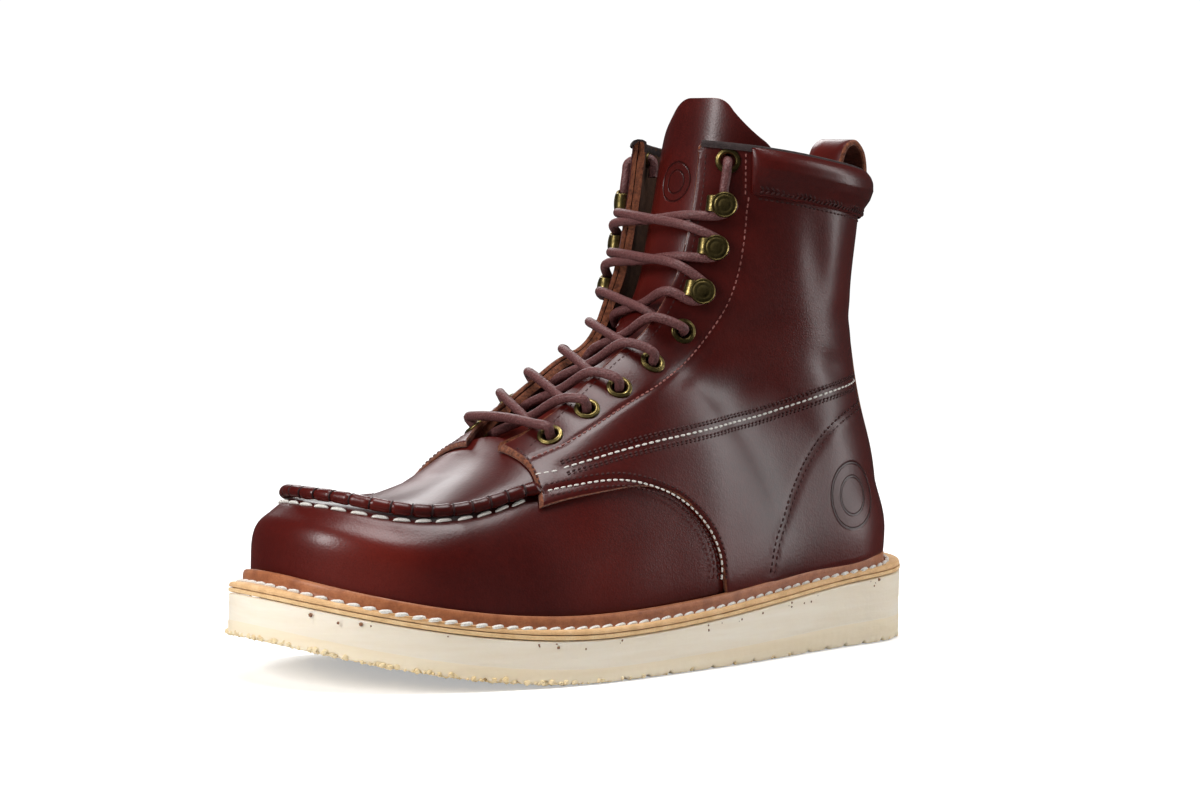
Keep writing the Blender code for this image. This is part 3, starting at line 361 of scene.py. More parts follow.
def cast(start, heading, reach=150.0 * MM):
    """First place where rays from inside leave the surface."""
    start = np.asarray(start, float)
    heading = np.asarray(heading, float)
    steps = np.linspace(0.0, reach, 76)
    near = np.zeros(start.shape[:-1])
    far = np.full(start.shape[:-1], reach)
    found = np.zeros(start.shape[:-1], bool)
    for t in steps[1:]:
        outside = (boot_form(start + t * heading) > 0.0) & ~found
        far = np.where(outside, t, far)
        near = np.where(outside, t - steps[1], near)
        found |= outside
    for _ in range(30):
        half = 0.5 * (near + far)
        outside = boot_form(start + half[..., None] * heading) > 0.0
        far = np.where(outside, half, far)
        near = np.where(outside, near, half)
    return start + (0.5 * (near + far))[..., None] * heading


# Lines on the boot

def outline_x(share):
    """Place along the sole for a share of the half outline, heel 0 to toe 1."""
    return SOLE_LENGTH * 0.5 * (1.0 - np.cos(np.pi * share))


def spine(x):
    """Nearest place on the foot's middle line, which ends before heel and toe."""
    return np.clip(x, SPINE_BACK, SPINE_FRONT)


def girdle(x_outline, side, height):
    """Surface points at a height, found outward from the middle line of the foot."""
    x_outline = np.asarray(x_outline, float)
    edge_y = sole_centre(x_outline) + side * sole_half_width(x_outline)
    spine_x = spine(x_outline)
    spine_y = sole_centre(spine_x)
    start = np.stack([spine_x, spine_y, height], axis=-1)
    goal = np.stack([x_outline, edge_y, height], axis=-1)
    heading = goal - start
    heading = heading / np.linalg.norm(heading, axis=-1, keepdims=True)
    return cast(start, heading)


def base_line(side, x_outline, height_of):
    x_outline = np.asarray(x_outline, float)
    return girdle(x_outline, side, height_of(x_outline))


def round_line(x_outline, height_of):
    """Line all round the foot, its height a function of the place along the sole."""
    outer = base_line(1.0, x_outline, height_of)
    inner = base_line(-1.0, x_outline, height_of)
    return np.concatenate([outer, inner[-2:0:-1]])


def collar_line(side, share, drop=0.0):
    """Collar edge from the back of the heel to its front corner."""
    share = np.asarray(share, float)
    front_angle = np.radians(24.0)
    angle = np.pi - share * (np.pi - front_angle)
    height = look_up(COLLAR_COLUMNS, COLLAR_ROWS, "height", share) * SHAFT_HEIGHT - drop
    start = np.stack([np.full_like(share, 75.0 * MM), np.full_like(share, 1.0 * MM), height], axis=-1)
    heading = np.stack([np.cos(angle), side * np.sin(angle), np.zeros_like(share)], axis=-1)
    return cast(start, heading)


def eyestay_line(side, share):
    """Edge of the lacing gap from the collar corner down to the throat."""
    x = look_up(EYESTAY_COLUMNS, EYESTAY_ROWS, "along", share) * SOLE_LENGTH
    z = look_up(EYESTAY_COLUMNS, EYESTAY_ROWS, "height", share) * SHAFT_HEIGHT
    y = side * look_up(EYESTAY_COLUMNS, EYESTAY_ROWS, "half_gap", share) * BALL_WIDTH
    return settle(np.stack([x, y, z], axis=-1), (1.0, 0.0, 1.0))


def throat_line(side, share):
    """Rear edge of the apron from the throat corner to the middle."""
    corner = eyestay_line(side, np.array([1.0]))[0]
    y = corner[1] * (1.0 - share)
    x = 203.0 * MM + (corner[0] - 203.0 * MM) * (1.0 - share) ** 2
    z = np.full_like(y, corner[2])
    return settle(np.stack([x, y, z], axis=-1), (0.0, 0.0, 1.0))


def centre_shift():
    """Sideways move that puts the sole's box on the middle plane."""
    x = outline_x(np.linspace(0.0, 1.0, 401))
    high = (sole_centre(x) + sole_half_width(x)).max()
    low = (sole_centre(x) - sole_half_width(x)).min()
    return 0.5 * (high + low)


SIDE_SHIFT = centre_shift()
ORIGIN = np.array([0.5 * SOLE_LENGTH, SIDE_SHIFT, 0.0])


def frame_of(normal, along):
    n = normal / np.linalg.norm(normal)
    t = along - n * np.dot(along, n)
    t = t / np.linalg.norm(t)
    return n, t, np.cross(n, t)


# middle line: along (sole length), height (shaft height); drop below the surface at the middle
# and at the edges, and reach to each side, in mm
TONGUE_COLUMNS = ("along", "height", "drop", "edge_drop", "outer", "inner")
ALONG, HEIGHT, DROP, EDGE_DROP, OUTER, INNER = range(len(TONGUE_COLUMNS))
TONGUE_ROWS = (
    (0.6984, 0.4138, 4.0, 3.8, 15.0, 15.0),
    (0.6656, 0.4335, 7.4, 5.8, 20.0, 20.0),
    (0.6230, 0.4729, 9.4, 7.0, 24.0, 23.0),
    (0.5770, 0.5222, 9.6, 7.2, 26.0, 25.0),
    (0.5311, 0.5764, 9.4, 7.0, 27.0, 26.0),
    (0.4885, 0.6355, 9.6, 7.0, 28.0, 26.5),
    (0.4590, 0.6897, 9.6, 7.0, 29.0, 27.0),
    (0.4393, 0.7488, 9.6, 7.2, 30.0, 27.5),
    (0.4230, 0.8177, 9.8, 7.4, 32.0, 27.5),
    (0.4131, 0.8966, 10.2, 8.0, 35.0, 27.0),
    (0.4033, 0.9704, 10.8, 9.0, 38.0, 26.0),
    (0.3967, 1.0450, 11.4, 10.4, 37.0, 24.0),
    (0.3930, 1.0920, 12.0, 12.0, 31.0, 18.5),
)


# along (sole length), aside (ball width), height (shaft height), hook 1 or eyelet 0; throat upward
# inner_extra: how much further round the inner side the fitting sits (ball width)
FITTING_COLUMNS = ("along", "aside", "height", "hook", "inner_extra")
HOOK = FITTING_COLUMNS.index("hook")
FITTING_ROWS = (
    (0.6397, 0.213, 0.4399, 0, 0.000),
    (0.5882, 0.233, 0.4877, 0, 0.000),
    (0.5407, 0.246, 0.5271, 0, 0.000),
    (0.4856, 0.241, 0.5744, 0, 0.005),
    (0.4311, 0.231, 0.6345, 0, 0.014),
    (0.4052, 0.237, 0.7074, 1, 0.027),
    (0.3849, 0.247, 0.7936, 1, 0.041),
    (0.3734, 0.254, 0.8768, 1, 0.045),
    (0.3679, 0.256, 0.9631, 0, 0.045),
)


# How much further round the inner fittings sit than in the solids, in mm
INNER_ROUND = (0.0, 0.0, 0.0, 0.0, 0.5, 2.4, 3.2, 3.4, 3.6)


def fitting_places(side):
    rows = np.asarray(FITTING_ROWS, float)
    x = rows[:, 0] * SOLE_LENGTH
    aside = rows[:, 1] + (rows[:, 4] if side < 0.0 else 0.0)
    y = LACING_MIDDLE + side * (aside * BALL_WIDTH - LACING_MIDDLE)
    if side < 0.0:
        y = y - np.array(INNER_ROUND) * MM
    z = rows[:, 2] * SHAFT_HEIGHT
    return settle(np.stack([x, y, z], axis=-1))


def edge_share(side, place):
    """Share of the eyestay edge level with a fitting."""
    share = np.linspace(0.0, 1.0, 201)
    edge = eyestay_line(side, share)
    gap = np.linalg.norm((edge - place) * np.array([1.0, 0.2, 1.0]), axis=1)
    return share[np.argmin(gap)]


LACE_UNDER = -(WALL + LACE_RADIUS + 0.45 * MM)
LACE_OVER = OUTSIDE + LACE_RADIUS + 1.5 * MM


def edge_point(side, share, inward, level):
    """Point off the eyestay edge, moved toward the gap and off the surface."""
    p = eyestay_line(side, np.array([share]))
    p[:, 1] -= side * inward
    p = settle(p, (1.0, 0.0, 1.0))
    return shift(p, np.array([level]))[0]


CUFF_HEIGHT = 18.0 * MM
CUFF_END = 0.85
TONGUE_THICK = 2.2 * MM


# Mesh helpers

EDGE_BULGE = 0.25 * MM


def add_piece(name, points, faces, materials, index=None, nodes=(), angle=50.0):
    """One closed mesh in the row frame, riding on the boot's body."""
    mesh = bpy.data.meshes.new(name)
    moved = np.asarray(points, float) - ORIGIN
    mesh.from_pydata(moved.tolist(), [], [tuple(int(v) for v in face) for face in faces])
    for material in materials:
        mesh.materials.append(material)
    if index is not None:
        mesh.polygons.foreach_set("material_index", np.asarray(index, np.int32))
    form = bmesh.new()
    form.from_mesh(mesh)
    bmesh.ops.remove_doubles(form, verts=form.verts, dist=0.002 * MM)
    bmesh.ops.recalc_face_normals(form, faces=form.faces)
    if form.calc_volume(signed=True) < 0.0:
        bmesh.ops.reverse_faces(form, faces=form.faces)
    form.to_mesh(mesh)
    form.free()
    mesh.polygons.foreach_set("use_smooth", np.ones(len(mesh.polygons), bool))
    mesh.set_sharp_from_angle(angle=np.radians(angle))
    piece = bpy.data.objects.new(name, mesh)
    bpy.context.scene.collection.objects.link(piece)
    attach(piece, "root")
    if nodes:
        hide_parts(*nodes)
    return piece


def quads(rows, columns, start, wrap):
    last = columns if wrap else columns - 1
    i, j = np.meshgrid(np.arange(rows - 1), np.arange(last), indexing="ij")
    k = (j + 1) % columns
    below = i * columns
    above = below + columns
    table = np.stack([below + j, below + k, above + k, above + j], -1)
    return (table.reshape(-1, 4) + start).tolist()


def sheet(name, grid, top, bottom, materials, wrap=False, nodes=(), cut=None):
    """Closed leather sheet on the surface with a rounded cut edge: outer, inner and edge materials."""
    rows, columns = grid.shape[:2]
    n = normals(grid)
    outer = grid + n * np.broadcast_to(top, grid.shape[:2])[..., None]
    inner = grid + n * np.broadcast_to(bottom, grid.shape[:2])[..., None]
    points = [outer.reshape(-1, 3), inner.reshape(-1, 3)]
    faces = quads(rows, columns, 0, wrap)
    index = [0] * len(faces) if cut is None else (np.asarray(cut).ravel() * 2).astype(int).tolist()
    second = rows * columns
    more = [face[::-1] for face in quads(rows, columns, second, wrap)]
    faces += more
    index += [1] * len(more)
    at = np.arange(rows * columns).reshape(rows, columns)
    if wrap:
        loops = [(at[0], at[1]), (at[-1], at[-2])]
    else:
        edge = np.concatenate([at[0], at[1:, -1], at[-1, -2::-1], at[-2:0:-1, 0]])
        near = np.concatenate([at[1], at[1:, -2], at[-2, -2::-1], at[-2:0:-1, 1]])
        loops = [(edge, near)]
    start = 2 * second
    flat = grid.reshape(-1, 3)
    flat_out = outer.reshape(-1, 3)
    flat_in = inner.reshape(-1, 3)
    for edge, near in loops:
        away = flat[edge] - flat[near]
        away = away / np.maximum(np.linalg.norm(away, axis=1, keepdims=True), 1e-9)
        count = len(edge)
        previous = edge
        for part in (0.2, 0.5, 0.8):
            bow = EDGE_BULGE * np.sin(np.pi * part)
            points.append(flat_out[edge] * (1.0 - part) + flat_in[edge] * part + away * bow)
            ring = start + np.arange(count)
            start += count
            for j in range(count):
                k = (j + 1) % count
                faces.append((previous[j], ring[j], ring[k], previous[k]))
                index.append(2)
            previous = ring
        for j in range(count):
            k = (j + 1) % count
            faces.append((previous[j], second + edge[j], second + edge[k], previous[k]))
            index.append(2)
    return add_piece(name, np.concatenate(points), faces, materials, index, nodes)


def band(low, high, count):
    """Faces between two closed rings, from the numbers of their first points."""
    faces = []
    for j in range(count):
        k = (j + 1) % count
        faces.append((low + j, low + k, high + k, high + j))
    return faces


def tube(count, corners, close, start=0):
    """Faces of a row of sections, joined to a loop or capped at both ends."""
    faces = []
    for i in range(count if close else count - 1):
        near = start + i * corners
        far = start + (i + 1) % count * corners
        for j in range(corners):
            k = (j + 1) % corners
            faces.append((near + j, far + j, far + k, near + k))
    if not close:
        last = start + (count - 1) * corners
        faces.append(tuple(start + j for j in range(corners)))
        faces.append(tuple(last + j for j in reversed(range(corners))))
    return faces


def sweep(name, sections, close, materials, index=None, nodes=(), angle=50.0):
    count, corners = sections.shape[:2]
    faces = tube(count, corners, close)
    if index is not None:
        index = list(index) * count if close else list(index) * (count - 1) + [index[0]] * 2
    return add_piece(name, sections.reshape(-1, 3), faces, materials, index, nodes, angle)


def cord_sections(path, radius, sides):
    path = np.asarray(path, float)
    ahead = np.gradient(path, axis=0)
    ahead = ahead / np.maximum(np.linalg.norm(ahead, axis=1, keepdims=True), 1e-9)
    up = np.array([0.0, 0.0, 1.0]) if abs(ahead[0][2]) < 0.9 else np.array([1.0, 0.0, 0.0])
    angles = np.linspace(0.0, 2.0 * np.pi, sides, endpoint=False)
    radius = np.broadcast_to(radius, len(path))
    sections = np.zeros((len(path), sides, 3))
    for i in range(len(path)):
        side = np.cross(ahead[i], up)
        side = side / np.linalg.norm(side)
        up = np.cross(side, ahead[i])
        ring = np.cos(angles)[:, None] * side + np.sin(angles)[:, None] * up
        sections[i] = path[i] + radius[i] * ring
    return sections


def unit(vectors):
    return vectors / np.linalg.norm(vectors, axis=-1, keepdims=True)


def resample(points, step=None, count=None):
    points = np.asarray(points, float)
    run = np.concatenate([[0.0], np.cumsum(np.linalg.norm(np.diff(points, axis=0), axis=1))])
    if count is None:
        count = max(2, int(round(run[-1] / step)) + 1)
    at = np.linspace(0.0, run[-1], count)
    return np.column_stack([np.interp(at, run, points[:, i]) for i in range(points.shape[1])])


def round_off(points, count):
    """Centripetal curve through control points, count steps between two of them."""
    p = np.asarray(points, float)
    p = np.concatenate([[2 * p[0] - p[1]], p, [2 * p[-1] - p[-2]]])
    result = []
    for i in range(1, len(p) - 2):
        quad = p[i - 1:i + 3]
        gaps = np.maximum(np.linalg.norm(np.diff(quad, axis=0), axis=1), 1e-6) ** 0.5
        t = np.concatenate([[0.0], np.cumsum(gaps)])
        at = np.linspace(t[1], t[2], count, endpoint=False)[:, None]
        a1 = (t[1] - at) / (t[1] - t[0]) * quad[0] + (at - t[0]) / (t[1] - t[0]) * quad[1]
        a2 = (t[2] - at) / (t[2] - t[1]) * quad[1] + (at - t[1]) / (t[2] - t[1]) * quad[2]
        a3 = (t[3] - at) / (t[3] - t[2]) * quad[2] + (at - t[2]) / (t[3] - t[2]) * quad[3]
        b1 = (t[2] - at) / (t[2] - t[0]) * a1 + (at - t[0]) / (t[2] - t[0]) * a2
        b2 = (t[3] - at) / (t[3] - t[1]) * a2 + (at - t[1]) / (t[3] - t[1]) * a3
        result.append((t[2] - at) / (t[2] - t[1]) * b1 + (at - t[1]) / (t[2] - t[1]) * b2)
    result.append(p[-2][None])
    return np.concatenate(result)


def side_line(side, rows, step=1.0 * MM):
    """Surface line from a side view table of (along, height) in mm."""
    table = round_off(np.asarray(rows, float) * MM, 10)
    table = resample(table, step)
    middle = sole_centre(spine(table[:, 0]))
    start = np.stack([table[:, 0], middle, table[:, 1]], -1)
    heading = np.zeros_like(start)
    heading[:, 1] = side
    return cast(start, heading)


def offset_line(line, distance):
    """Line on the surface moved sideways, to the left of its run seen from outside."""
    ahead = np.gradient(line, axis=0)
    n = normals(line)
    left = unit(np.cross(n, ahead))
    return settle(line + left * distance)


# Rings of a stitch: place along its half length and share of its radius
STITCH_RINGS = ((-0.82, 0.72), (-0.4, 1.0), (0.4, 1.0), (0.82, 0.72))
STITCH_SIDES = 6


class Thread:
    """Collects stitches and joins them into one piece."""

    def __init__(self):
        self.points = []
        self.faces = []
        self.count = 0

    def row(self, line, level, pitch, length, radius, sink=0.25, slant=0.0, start=0.5, bow=0.0):
        line = np.asarray(line, float)
        run = np.concatenate([[0.0], np.cumsum(np.linalg.norm(np.diff(line, axis=0), axis=1))])
        number = int(run[-1] / pitch)
        if number < 1:
            return
        at = (np.arange(number) + start) * run[-1] / number
        middle = np.column_stack([np.interp(at, run, line[:, i]) for i in range(3)])
        ahead = np.column_stack([np.interp(at + 0.3 * MM, run, line[:, i])
                                 - np.interp(at - 0.3 * MM, run, line[:, i]) for i in range(3)])
        n = normals(middle)
        middle = middle + n * (level + relief(middle))[:, None]
        self.add(middle, ahead, n, length, radius, sink, slant, bow)

    def add(self, middle, ahead, n, length, radius, sink=0.25, slant=0.0, bow=0.0):
        ahead = ahead - n * (ahead * n).sum(1, keepdims=True)
        ahead = ahead / np.maximum(np.linalg.norm(ahead, axis=1, keepdims=True), 1e-9)
        side = np.cross(n, ahead)
        turn = ahead * np.cos(slant) + side * np.sin(slant)
        side = np.cross(n, turn)
        angles = np.linspace(0.0, 2.0 * np.pi, STITCH_SIDES, endpoint=False)
        for i in range(len(middle)):
            base = self.count
            for place, wide in STITCH_RINGS:
                centre = middle[i] + turn[i] * place * 0.5 * length - n[i] * radius * sink
                centre = centre + n[i] * bow * (1.0 - place ** 2)
                ring = centre + radius * wide * (np.cos(angles)[:, None] * side[i]
                                                 + np.sin(angles)[:, None] * n[i])
                self.points.append(ring)
            for place in (-1.0, 1.0):
                self.points.append((middle[i] + turn[i] * place * 0.5 * length
                                    - n[i] * radius * (sink + 0.5))[None])
            tips = base + len(STITCH_RINGS) * STITCH_SIDES
            last = tips - STITCH_SIDES
            for ring in range(base, last, STITCH_SIDES):
                self.faces += band(ring, ring + STITCH_SIDES, STITCH_SIDES)
            for j in range(STITCH_SIDES):
                k = (j + 1) % STITCH_SIDES
                self.faces.append((tips, base + k, base + j))
                self.faces.append((tips + 1, last + j, last + k))
            self.count = tips + 2

    def build(self, name, material):
        return add_piece(name, np.concatenate(self.points), self.faces, [material])


# Materials

class Shader:
    """Short way to wire a material's nodes."""

    def __init__(self, name, roughness, metallic=0.0, specular=0.5, coat=0.0, coat_rough=0.2, sheen=0.0):
        self.material = bpy.data.materials.new(name)
        self.material.use_nodes = True
        self.tree = self.material.node_tree
        self.body = self.tree.nodes["Principled BSDF"]
        self.set("Roughness", roughness)
        self.set("Metallic", metallic)
        self.set("Specular IOR Level", specular)
        self.set("Coat Weight", coat)
        self.set("Coat Roughness", coat_rough)
        self.set("Sheen Weight", sheen)
        self.place = self.node("ShaderNodeTexCoord").outputs["Object"]
        self.height = None

    def set(self, name, value):
        self.body.inputs[name].default_value = value

    def node(self, kind, **settings):
        item = self.tree.nodes.new(kind)
        for key, value in settings.items():
            setattr(item, key, value)
        return item

    def link(self, source, goal):
        self.tree.links.new(source, goal)

    def noise(self, scale, detail=3.0, rough=0.55, stretch=None, warp=0.0):
        item = self.node("ShaderNodeTexNoise")
        item.inputs["Scale"].default_value = scale
        item.inputs["Detail"].default_value = detail
        item.inputs["Roughness"].default_value = rough
        item.inputs["Distortion"].default_value = warp
        self.link(self.stretched(stretch), item.inputs["Vector"])
        return item.outputs["Fac"]

    def stretched(self, stretch):
        if stretch is None:
            return self.place
        mapping = self.node("ShaderNodeMapping")
        mapping.inputs["Scale"].default_value = stretch
        self.link(self.place, mapping.inputs["Vector"])
        return mapping.outputs["Vector"]

    def cells(self, scale, feature="F1", stretch=None):
        item = self.node("ShaderNodeTexVoronoi", feature=feature)
        item.inputs["Scale"].default_value = scale
        self.link(self.stretched(stretch), item.inputs["Vector"])
        return item.outputs["Distance"]

    def ramp(self, value, stops, easing="LINEAR"):
        item = self.node("ShaderNodeValToRGB")
        item.color_ramp.interpolation = easing
        elements = item.color_ramp.elements
        while len(elements) < len(stops):
            elements.new(0.5)
        for element, (at, colour) in zip(elements, stops):
            element.position = at
            if not isinstance(colour, tuple):
                colour = (colour, colour, colour)
            element.color = (colour[0], colour[1], colour[2], 1.0)
        self.link(value, item.inputs["Fac"])
        return item.outputs["Color"]

    def feed(self, socket, value):
        """Set an input, or link it if the value is another node's output."""
        if isinstance(value, (int, float)):
            socket.default_value = value
        elif isinstance(value, tuple):
            socket.default_value = (value[0], value[1], value[2], 1.0)
        else:
            self.link(value, socket)

    def mix(self, share, first, second):
        item = self.node("ShaderNodeMix", data_type="RGBA")
        self.feed(item.inputs[0], share)
        self.feed(item.inputs[6], first)
        self.feed(item.inputs[7], second)
        return item.outputs[2]

    def math(self, operation, first, second=0.5, third=0.5, clamp=False):
        item = self.node("ShaderNodeMath", operation=operation, use_clamp=clamp)
        for socket, value in zip(item.inputs, (first, second, third)):
            self.feed(socket, value)
        return item.outputs[0]

    def colour(self, value):
        self.link(value, self.body.inputs["Base Color"])

    def rough(self, value):
        self.link(value, self.body.inputs["Roughness"])

    def bump(self, value, distance, strength=1.0):
        item = self.node("ShaderNodeBump")
        item.inputs["Distance"].default_value = distance
        item.inputs["Strength"].default_value = strength
        self.link(value, item.inputs["Height"])
        if self.height is not None:
            self.link(self.height, item.inputs["Normal"])
        self.height = item.outputs["Normal"]
        self.link(self.height, self.body.inputs["Normal"])

    def away_from(self, centre):
        """Distance from a point of the boot, in metres."""
        item = self.node("ShaderNodeVectorMath", operation="DISTANCE")
        item.inputs[1].default_value = tuple(float(v) for v in centre)
        self.link(self.place, item.inputs[0])
        return item.outputs["Value"]


def leather(name, dark, deep, bright, roughness, badge=None):
    s = Shader(name, roughness, specular=0.38, coat=0.05, coat_rough=0.16)
    patches = s.noise(14.0, 1.5, 0.45, warp=0.4)
    tone = s.ramp(patches, [(0.18, dark), (0.50, deep), (0.84, bright)])
    fine = s.noise(420.0, 3.0, 0.6)
    tone = s.mix(s.ramp(fine, [(0.35, 0.0), (0.75, 0.16)]), tone, bright)
    specks = s.noise(1500.0, 2.0, 0.5)
    tone = s.mix(s.ramp(specks, [(0.50, 0.0), (0.72, 0.30)]), tone, dark)
    if badge is not None:
        away = s.away_from(badge[0])
        share = s.math("DIVIDE", away, badge[1])
        rings = s.ramp(share, [(0.0, 0.35), (0.50, 0.35), (0.53, 1.0), (0.57, 1.0), (0.60, 0.25),
                               (0.88, 0.25), (0.91, 1.0), (0.95, 1.0), (1.0, 0.0)])
        shade = tuple(0.5 * value for value in dark)
        tone = s.mix(s.math("MULTIPLY", rings, 0.75), tone, shade)
        s.bump(rings, -0.35 * MM, 1.0)
    s.colour(tone)
    s.rough(s.ramp(s.noise(40.0, 1.0, 0.5), [(0.30, roughness - 0.01), (0.70, roughness + 0.03)]))
    grain = s.cells(1150.0)
    s.bump(grain, 0.05 * MM, 0.55)
    s.bump(s.noise(320.0, 2.0, 0.5), 0.06 * MM, 0.5)
    s.bump(s.noise(60.0, 1.0, 0.5), 0.14 * MM, 0.4)
    return s.material


def raw_edge(name, dark, bright):
    s = Shader(name, 0.85, specular=0.2, sheen=0.25)
    s.colour(s.ramp(s.noise(700.0, 4.0, 0.7), [(0.32, dark), (0.62, bright)]))
    s.bump(s.noise(1400.0, 4.0, 0.7), 0.35 * MM, 0.9)
    return s.material


def nap(name, dark, bright, roughness=0.9):
    s = Shader(name, roughness, specular=0.1, sheen=0.04)
    s.colour(s.ramp(s.noise(300.0, 5.0, 0.7), [(0.30, dark), (0.70, bright)]))
    s.bump(s.noise(1800.0, 4.0, 0.7), 0.25 * MM, 0.8)
    return s.material


def thread(name, dark, bright, roughness=0.6):
    s = Shader(name, roughness, specular=0.3)
    s.colour(s.ramp(s.noise(2500.0, 2.0, 0.6), [(0.35, dark), (0.65, bright)]))
    s.bump(s.noise(3000.0, 2.0, 0.6), 0.1 * MM, 0.6)
    return s.material


WINE_DARK = (0.028, 0.0018, 0.0014)
WINE_DEEP = (0.068, 0.0044, 0.0030)
WINE_BRIGHT = (0.138, 0.0115, 0.0062)

BADGE_CENTRE = np.array([46.0, 34.0, 61.0]) * MM

LEATHER = leather("wine_leather", WINE_DARK, WINE_DEEP, WINE_BRIGHT, 0.32)
QUARTER_LEATHER = leather("wine_leather_quarter", WINE_DARK, WINE_DEEP, WINE_BRIGHT, 0.32,
                          (BADGE_CENTRE - ORIGIN, 14.5 * MM))
RAW = raw_edge("cut_edge", (0.060, 0.014, 0.006), (0.26, 0.080, 0.034))
FLESH = nap("flesh_side", (0.040, 0.010, 0.006), (0.15, 0.042, 0.022))
LINING = nap("lining", (0.055, 0.024, 0.013), (0.11, 0.052, 0.028), 0.8)
BINDING = nap("binding_tape", (0.020, 0.013, 0.013), (0.050, 0.034, 0.033), 0.75)
WHITE_THREAD = thread("white_thread", (0.62, 0.58, 0.52), (0.86, 0.83, 0.78))
BROWN_THREAD = thread("brown_thread", (0.030, 0.008, 0.008), (0.085, 0.025, 0.022))
PINK_THREAD = thread("pink_thread", (0.20, 0.065, 0.055), (0.36, 0.14, 0.12))
DARK_THREAD = thread("dark_thread", (0.018, 0.007, 0.007), (0.035, 0.012, 0.012))


def lace_material():
    s = Shader("waxed_lace", 0.55, specular=0.35, coat=0.1, coat_rough=0.35)
    weave = s.noise(1500.0, 3.0, 0.6, stretch=(1.0, 1.0, 1.4))
    s.colour(s.ramp(weave, [(0.30, (0.075, 0.022, 0.022)), (0.55, (0.135, 0.046, 0.044)),
                            (0.8, (0.24, 0.105, 0.10))]))
    s.bump(s.cells(1050.0), 0.30 * MM, 0.8)
    return s.material


def brass_material():
    s = Shader("old_brass", 0.34, metallic=1.0)
    wear = s.noise(420.0, 4.0, 0.65)
    s.colour(s.ramp(wear, [(0.30, (0.050, 0.038, 0.014)), (0.55, (0.22, 0.165, 0.060)),
                           (0.80, (0.50, 0.40, 0.17))]))
    s.rough(s.ramp(wear, [(0.3, 0.5), (0.7, 0.26)]))
    s.bump(s.noise(900.0, 3.0, 0.6), 0.12 * MM, 0.6)
    return s.material


def crepe(name, low, high, grain):
    s = Shader(name, 0.62, specular=0.35)
    s.set("Subsurface Weight", 0.12)
    s.set("Subsurface Radius", (0.004, 0.003, 0.0015))
    s.set("Subsurface Scale", 0.5)
    streaks = s.noise(30.0, 4.0, 0.6, stretch=(0.5, 0.5, 6.0))
    tone = s.ramp(streaks, [(0.30, low), (0.70, high)])
    s.colour(tone)
    s.bump(s.noise(grain, 4.0, 0.65), 0.30 * MM, 0.5)
    s.bump(s.noise(90.0, 3.0, 0.5, stretch=(1.0, 1.0, 5.0)), 0.25 * MM, 0.4)
    return s.material


CREPE_TOP = crepe("crepe_top", (0.87, 0.76, 0.60), (0.94, 0.86, 0.73), 500.0)
CREPE_LOW = crepe("crepe_low", (0.87, 0.73, 0.52), (0.94, 0.82, 0.63), 380.0)
CRUMB = crepe("crepe_crumb", (0.78, 0.58, 0.31), (0.90, 0.74, 0.48), 500.0)
GLUE = thread("glue_specks", (0.16, 0.07, 0.035), (0.30, 0.14, 0.07))
LACE = lace_material()
BRASS = brass_material()


def tan_leather(name, dark, deep, bright, roughness, fuzz):
    s = Shader(name, roughness, specular=0.35, sheen=0.1)
    tone = s.ramp(s.noise(160.0, 5.0, 0.65), [(0.28, dark), (0.50, deep), (0.75, bright)])
    tone = s.mix(s.ramp(s.noise(1400.0, 3.0, 0.6), [(0.45, 0.0), (0.75, 0.5)]), tone, dark)
    s.colour(tone)
    s.bump(s.noise(1200.0, 4.0, 0.7), fuzz, 0.8)
    return s.material


WELT_TAN = tan_leather("welt_leather", (0.25, 0.075, 0.028), (0.40, 0.135, 0.052),
                       (0.50, 0.19, 0.080), 0.42, 0.10 * MM)
LEDGE_TAN = tan_leather("welt_ledge", (0.62, 0.36, 0.16), (0.78, 0.48, 0.23),
                        (0.88, 0.60, 0.33), 0.65, 0.20 * MM)
EDGE_TAN = tan_leather("midsole_edge", (0.68, 0.42, 0.19), (0.84, 0.57, 0.29),
                       (0.92, 0.71, 0.43), 0.75, 0.30 * MM)
INSOLE_TAN = tan_leather("insole_board", (0.26, 0.14, 0.07), (0.36, 0.21, 0.11),
                         (0.44, 0.27, 0.15), 0.6, 0.10 * MM)


# Creases: soft troughs with raised sides, in the boot's own sizes
# along (sole length), height (shaft height), side (outer 1, inner -1, both 0), slant (degrees),
# length and width (ball width), depth (mm)
CREASE_ROWS = (
    (0.430, 0.560, 0.0, -28.0, 0.26, 0.050, 0.9),
    (0.350, 0.520, 0.0, -14.0, 0.24, 0.060, 0.8),
    (0.330, 0.640, 0.0, -10.0, 0.20, 0.055, 0.6),
    (0.180, 0.560, 0.0, 18.0, 0.20, 0.060, 0.8),
    (0.150, 0.660, 0.0, 12.0, 0.18, 0.050, 0.6),
    (0.560, 0.430, 0.0, -30.0, 0.22, 0.050, 0.6),
    (0.240, 0.780, 0.0, 76.0, 0.34, 0.090, 0.8),
    (0.600, 0.230, 1.0, -20.0, 0.30, 0.080, 0.5),
    (0.640, 0.220, -1.0, -18.0, 0.32, 0.080, 0.6),
)

PUCKER_PLACES = np.concatenate([fitting_places(1.0), fitting_places(-1.0)])


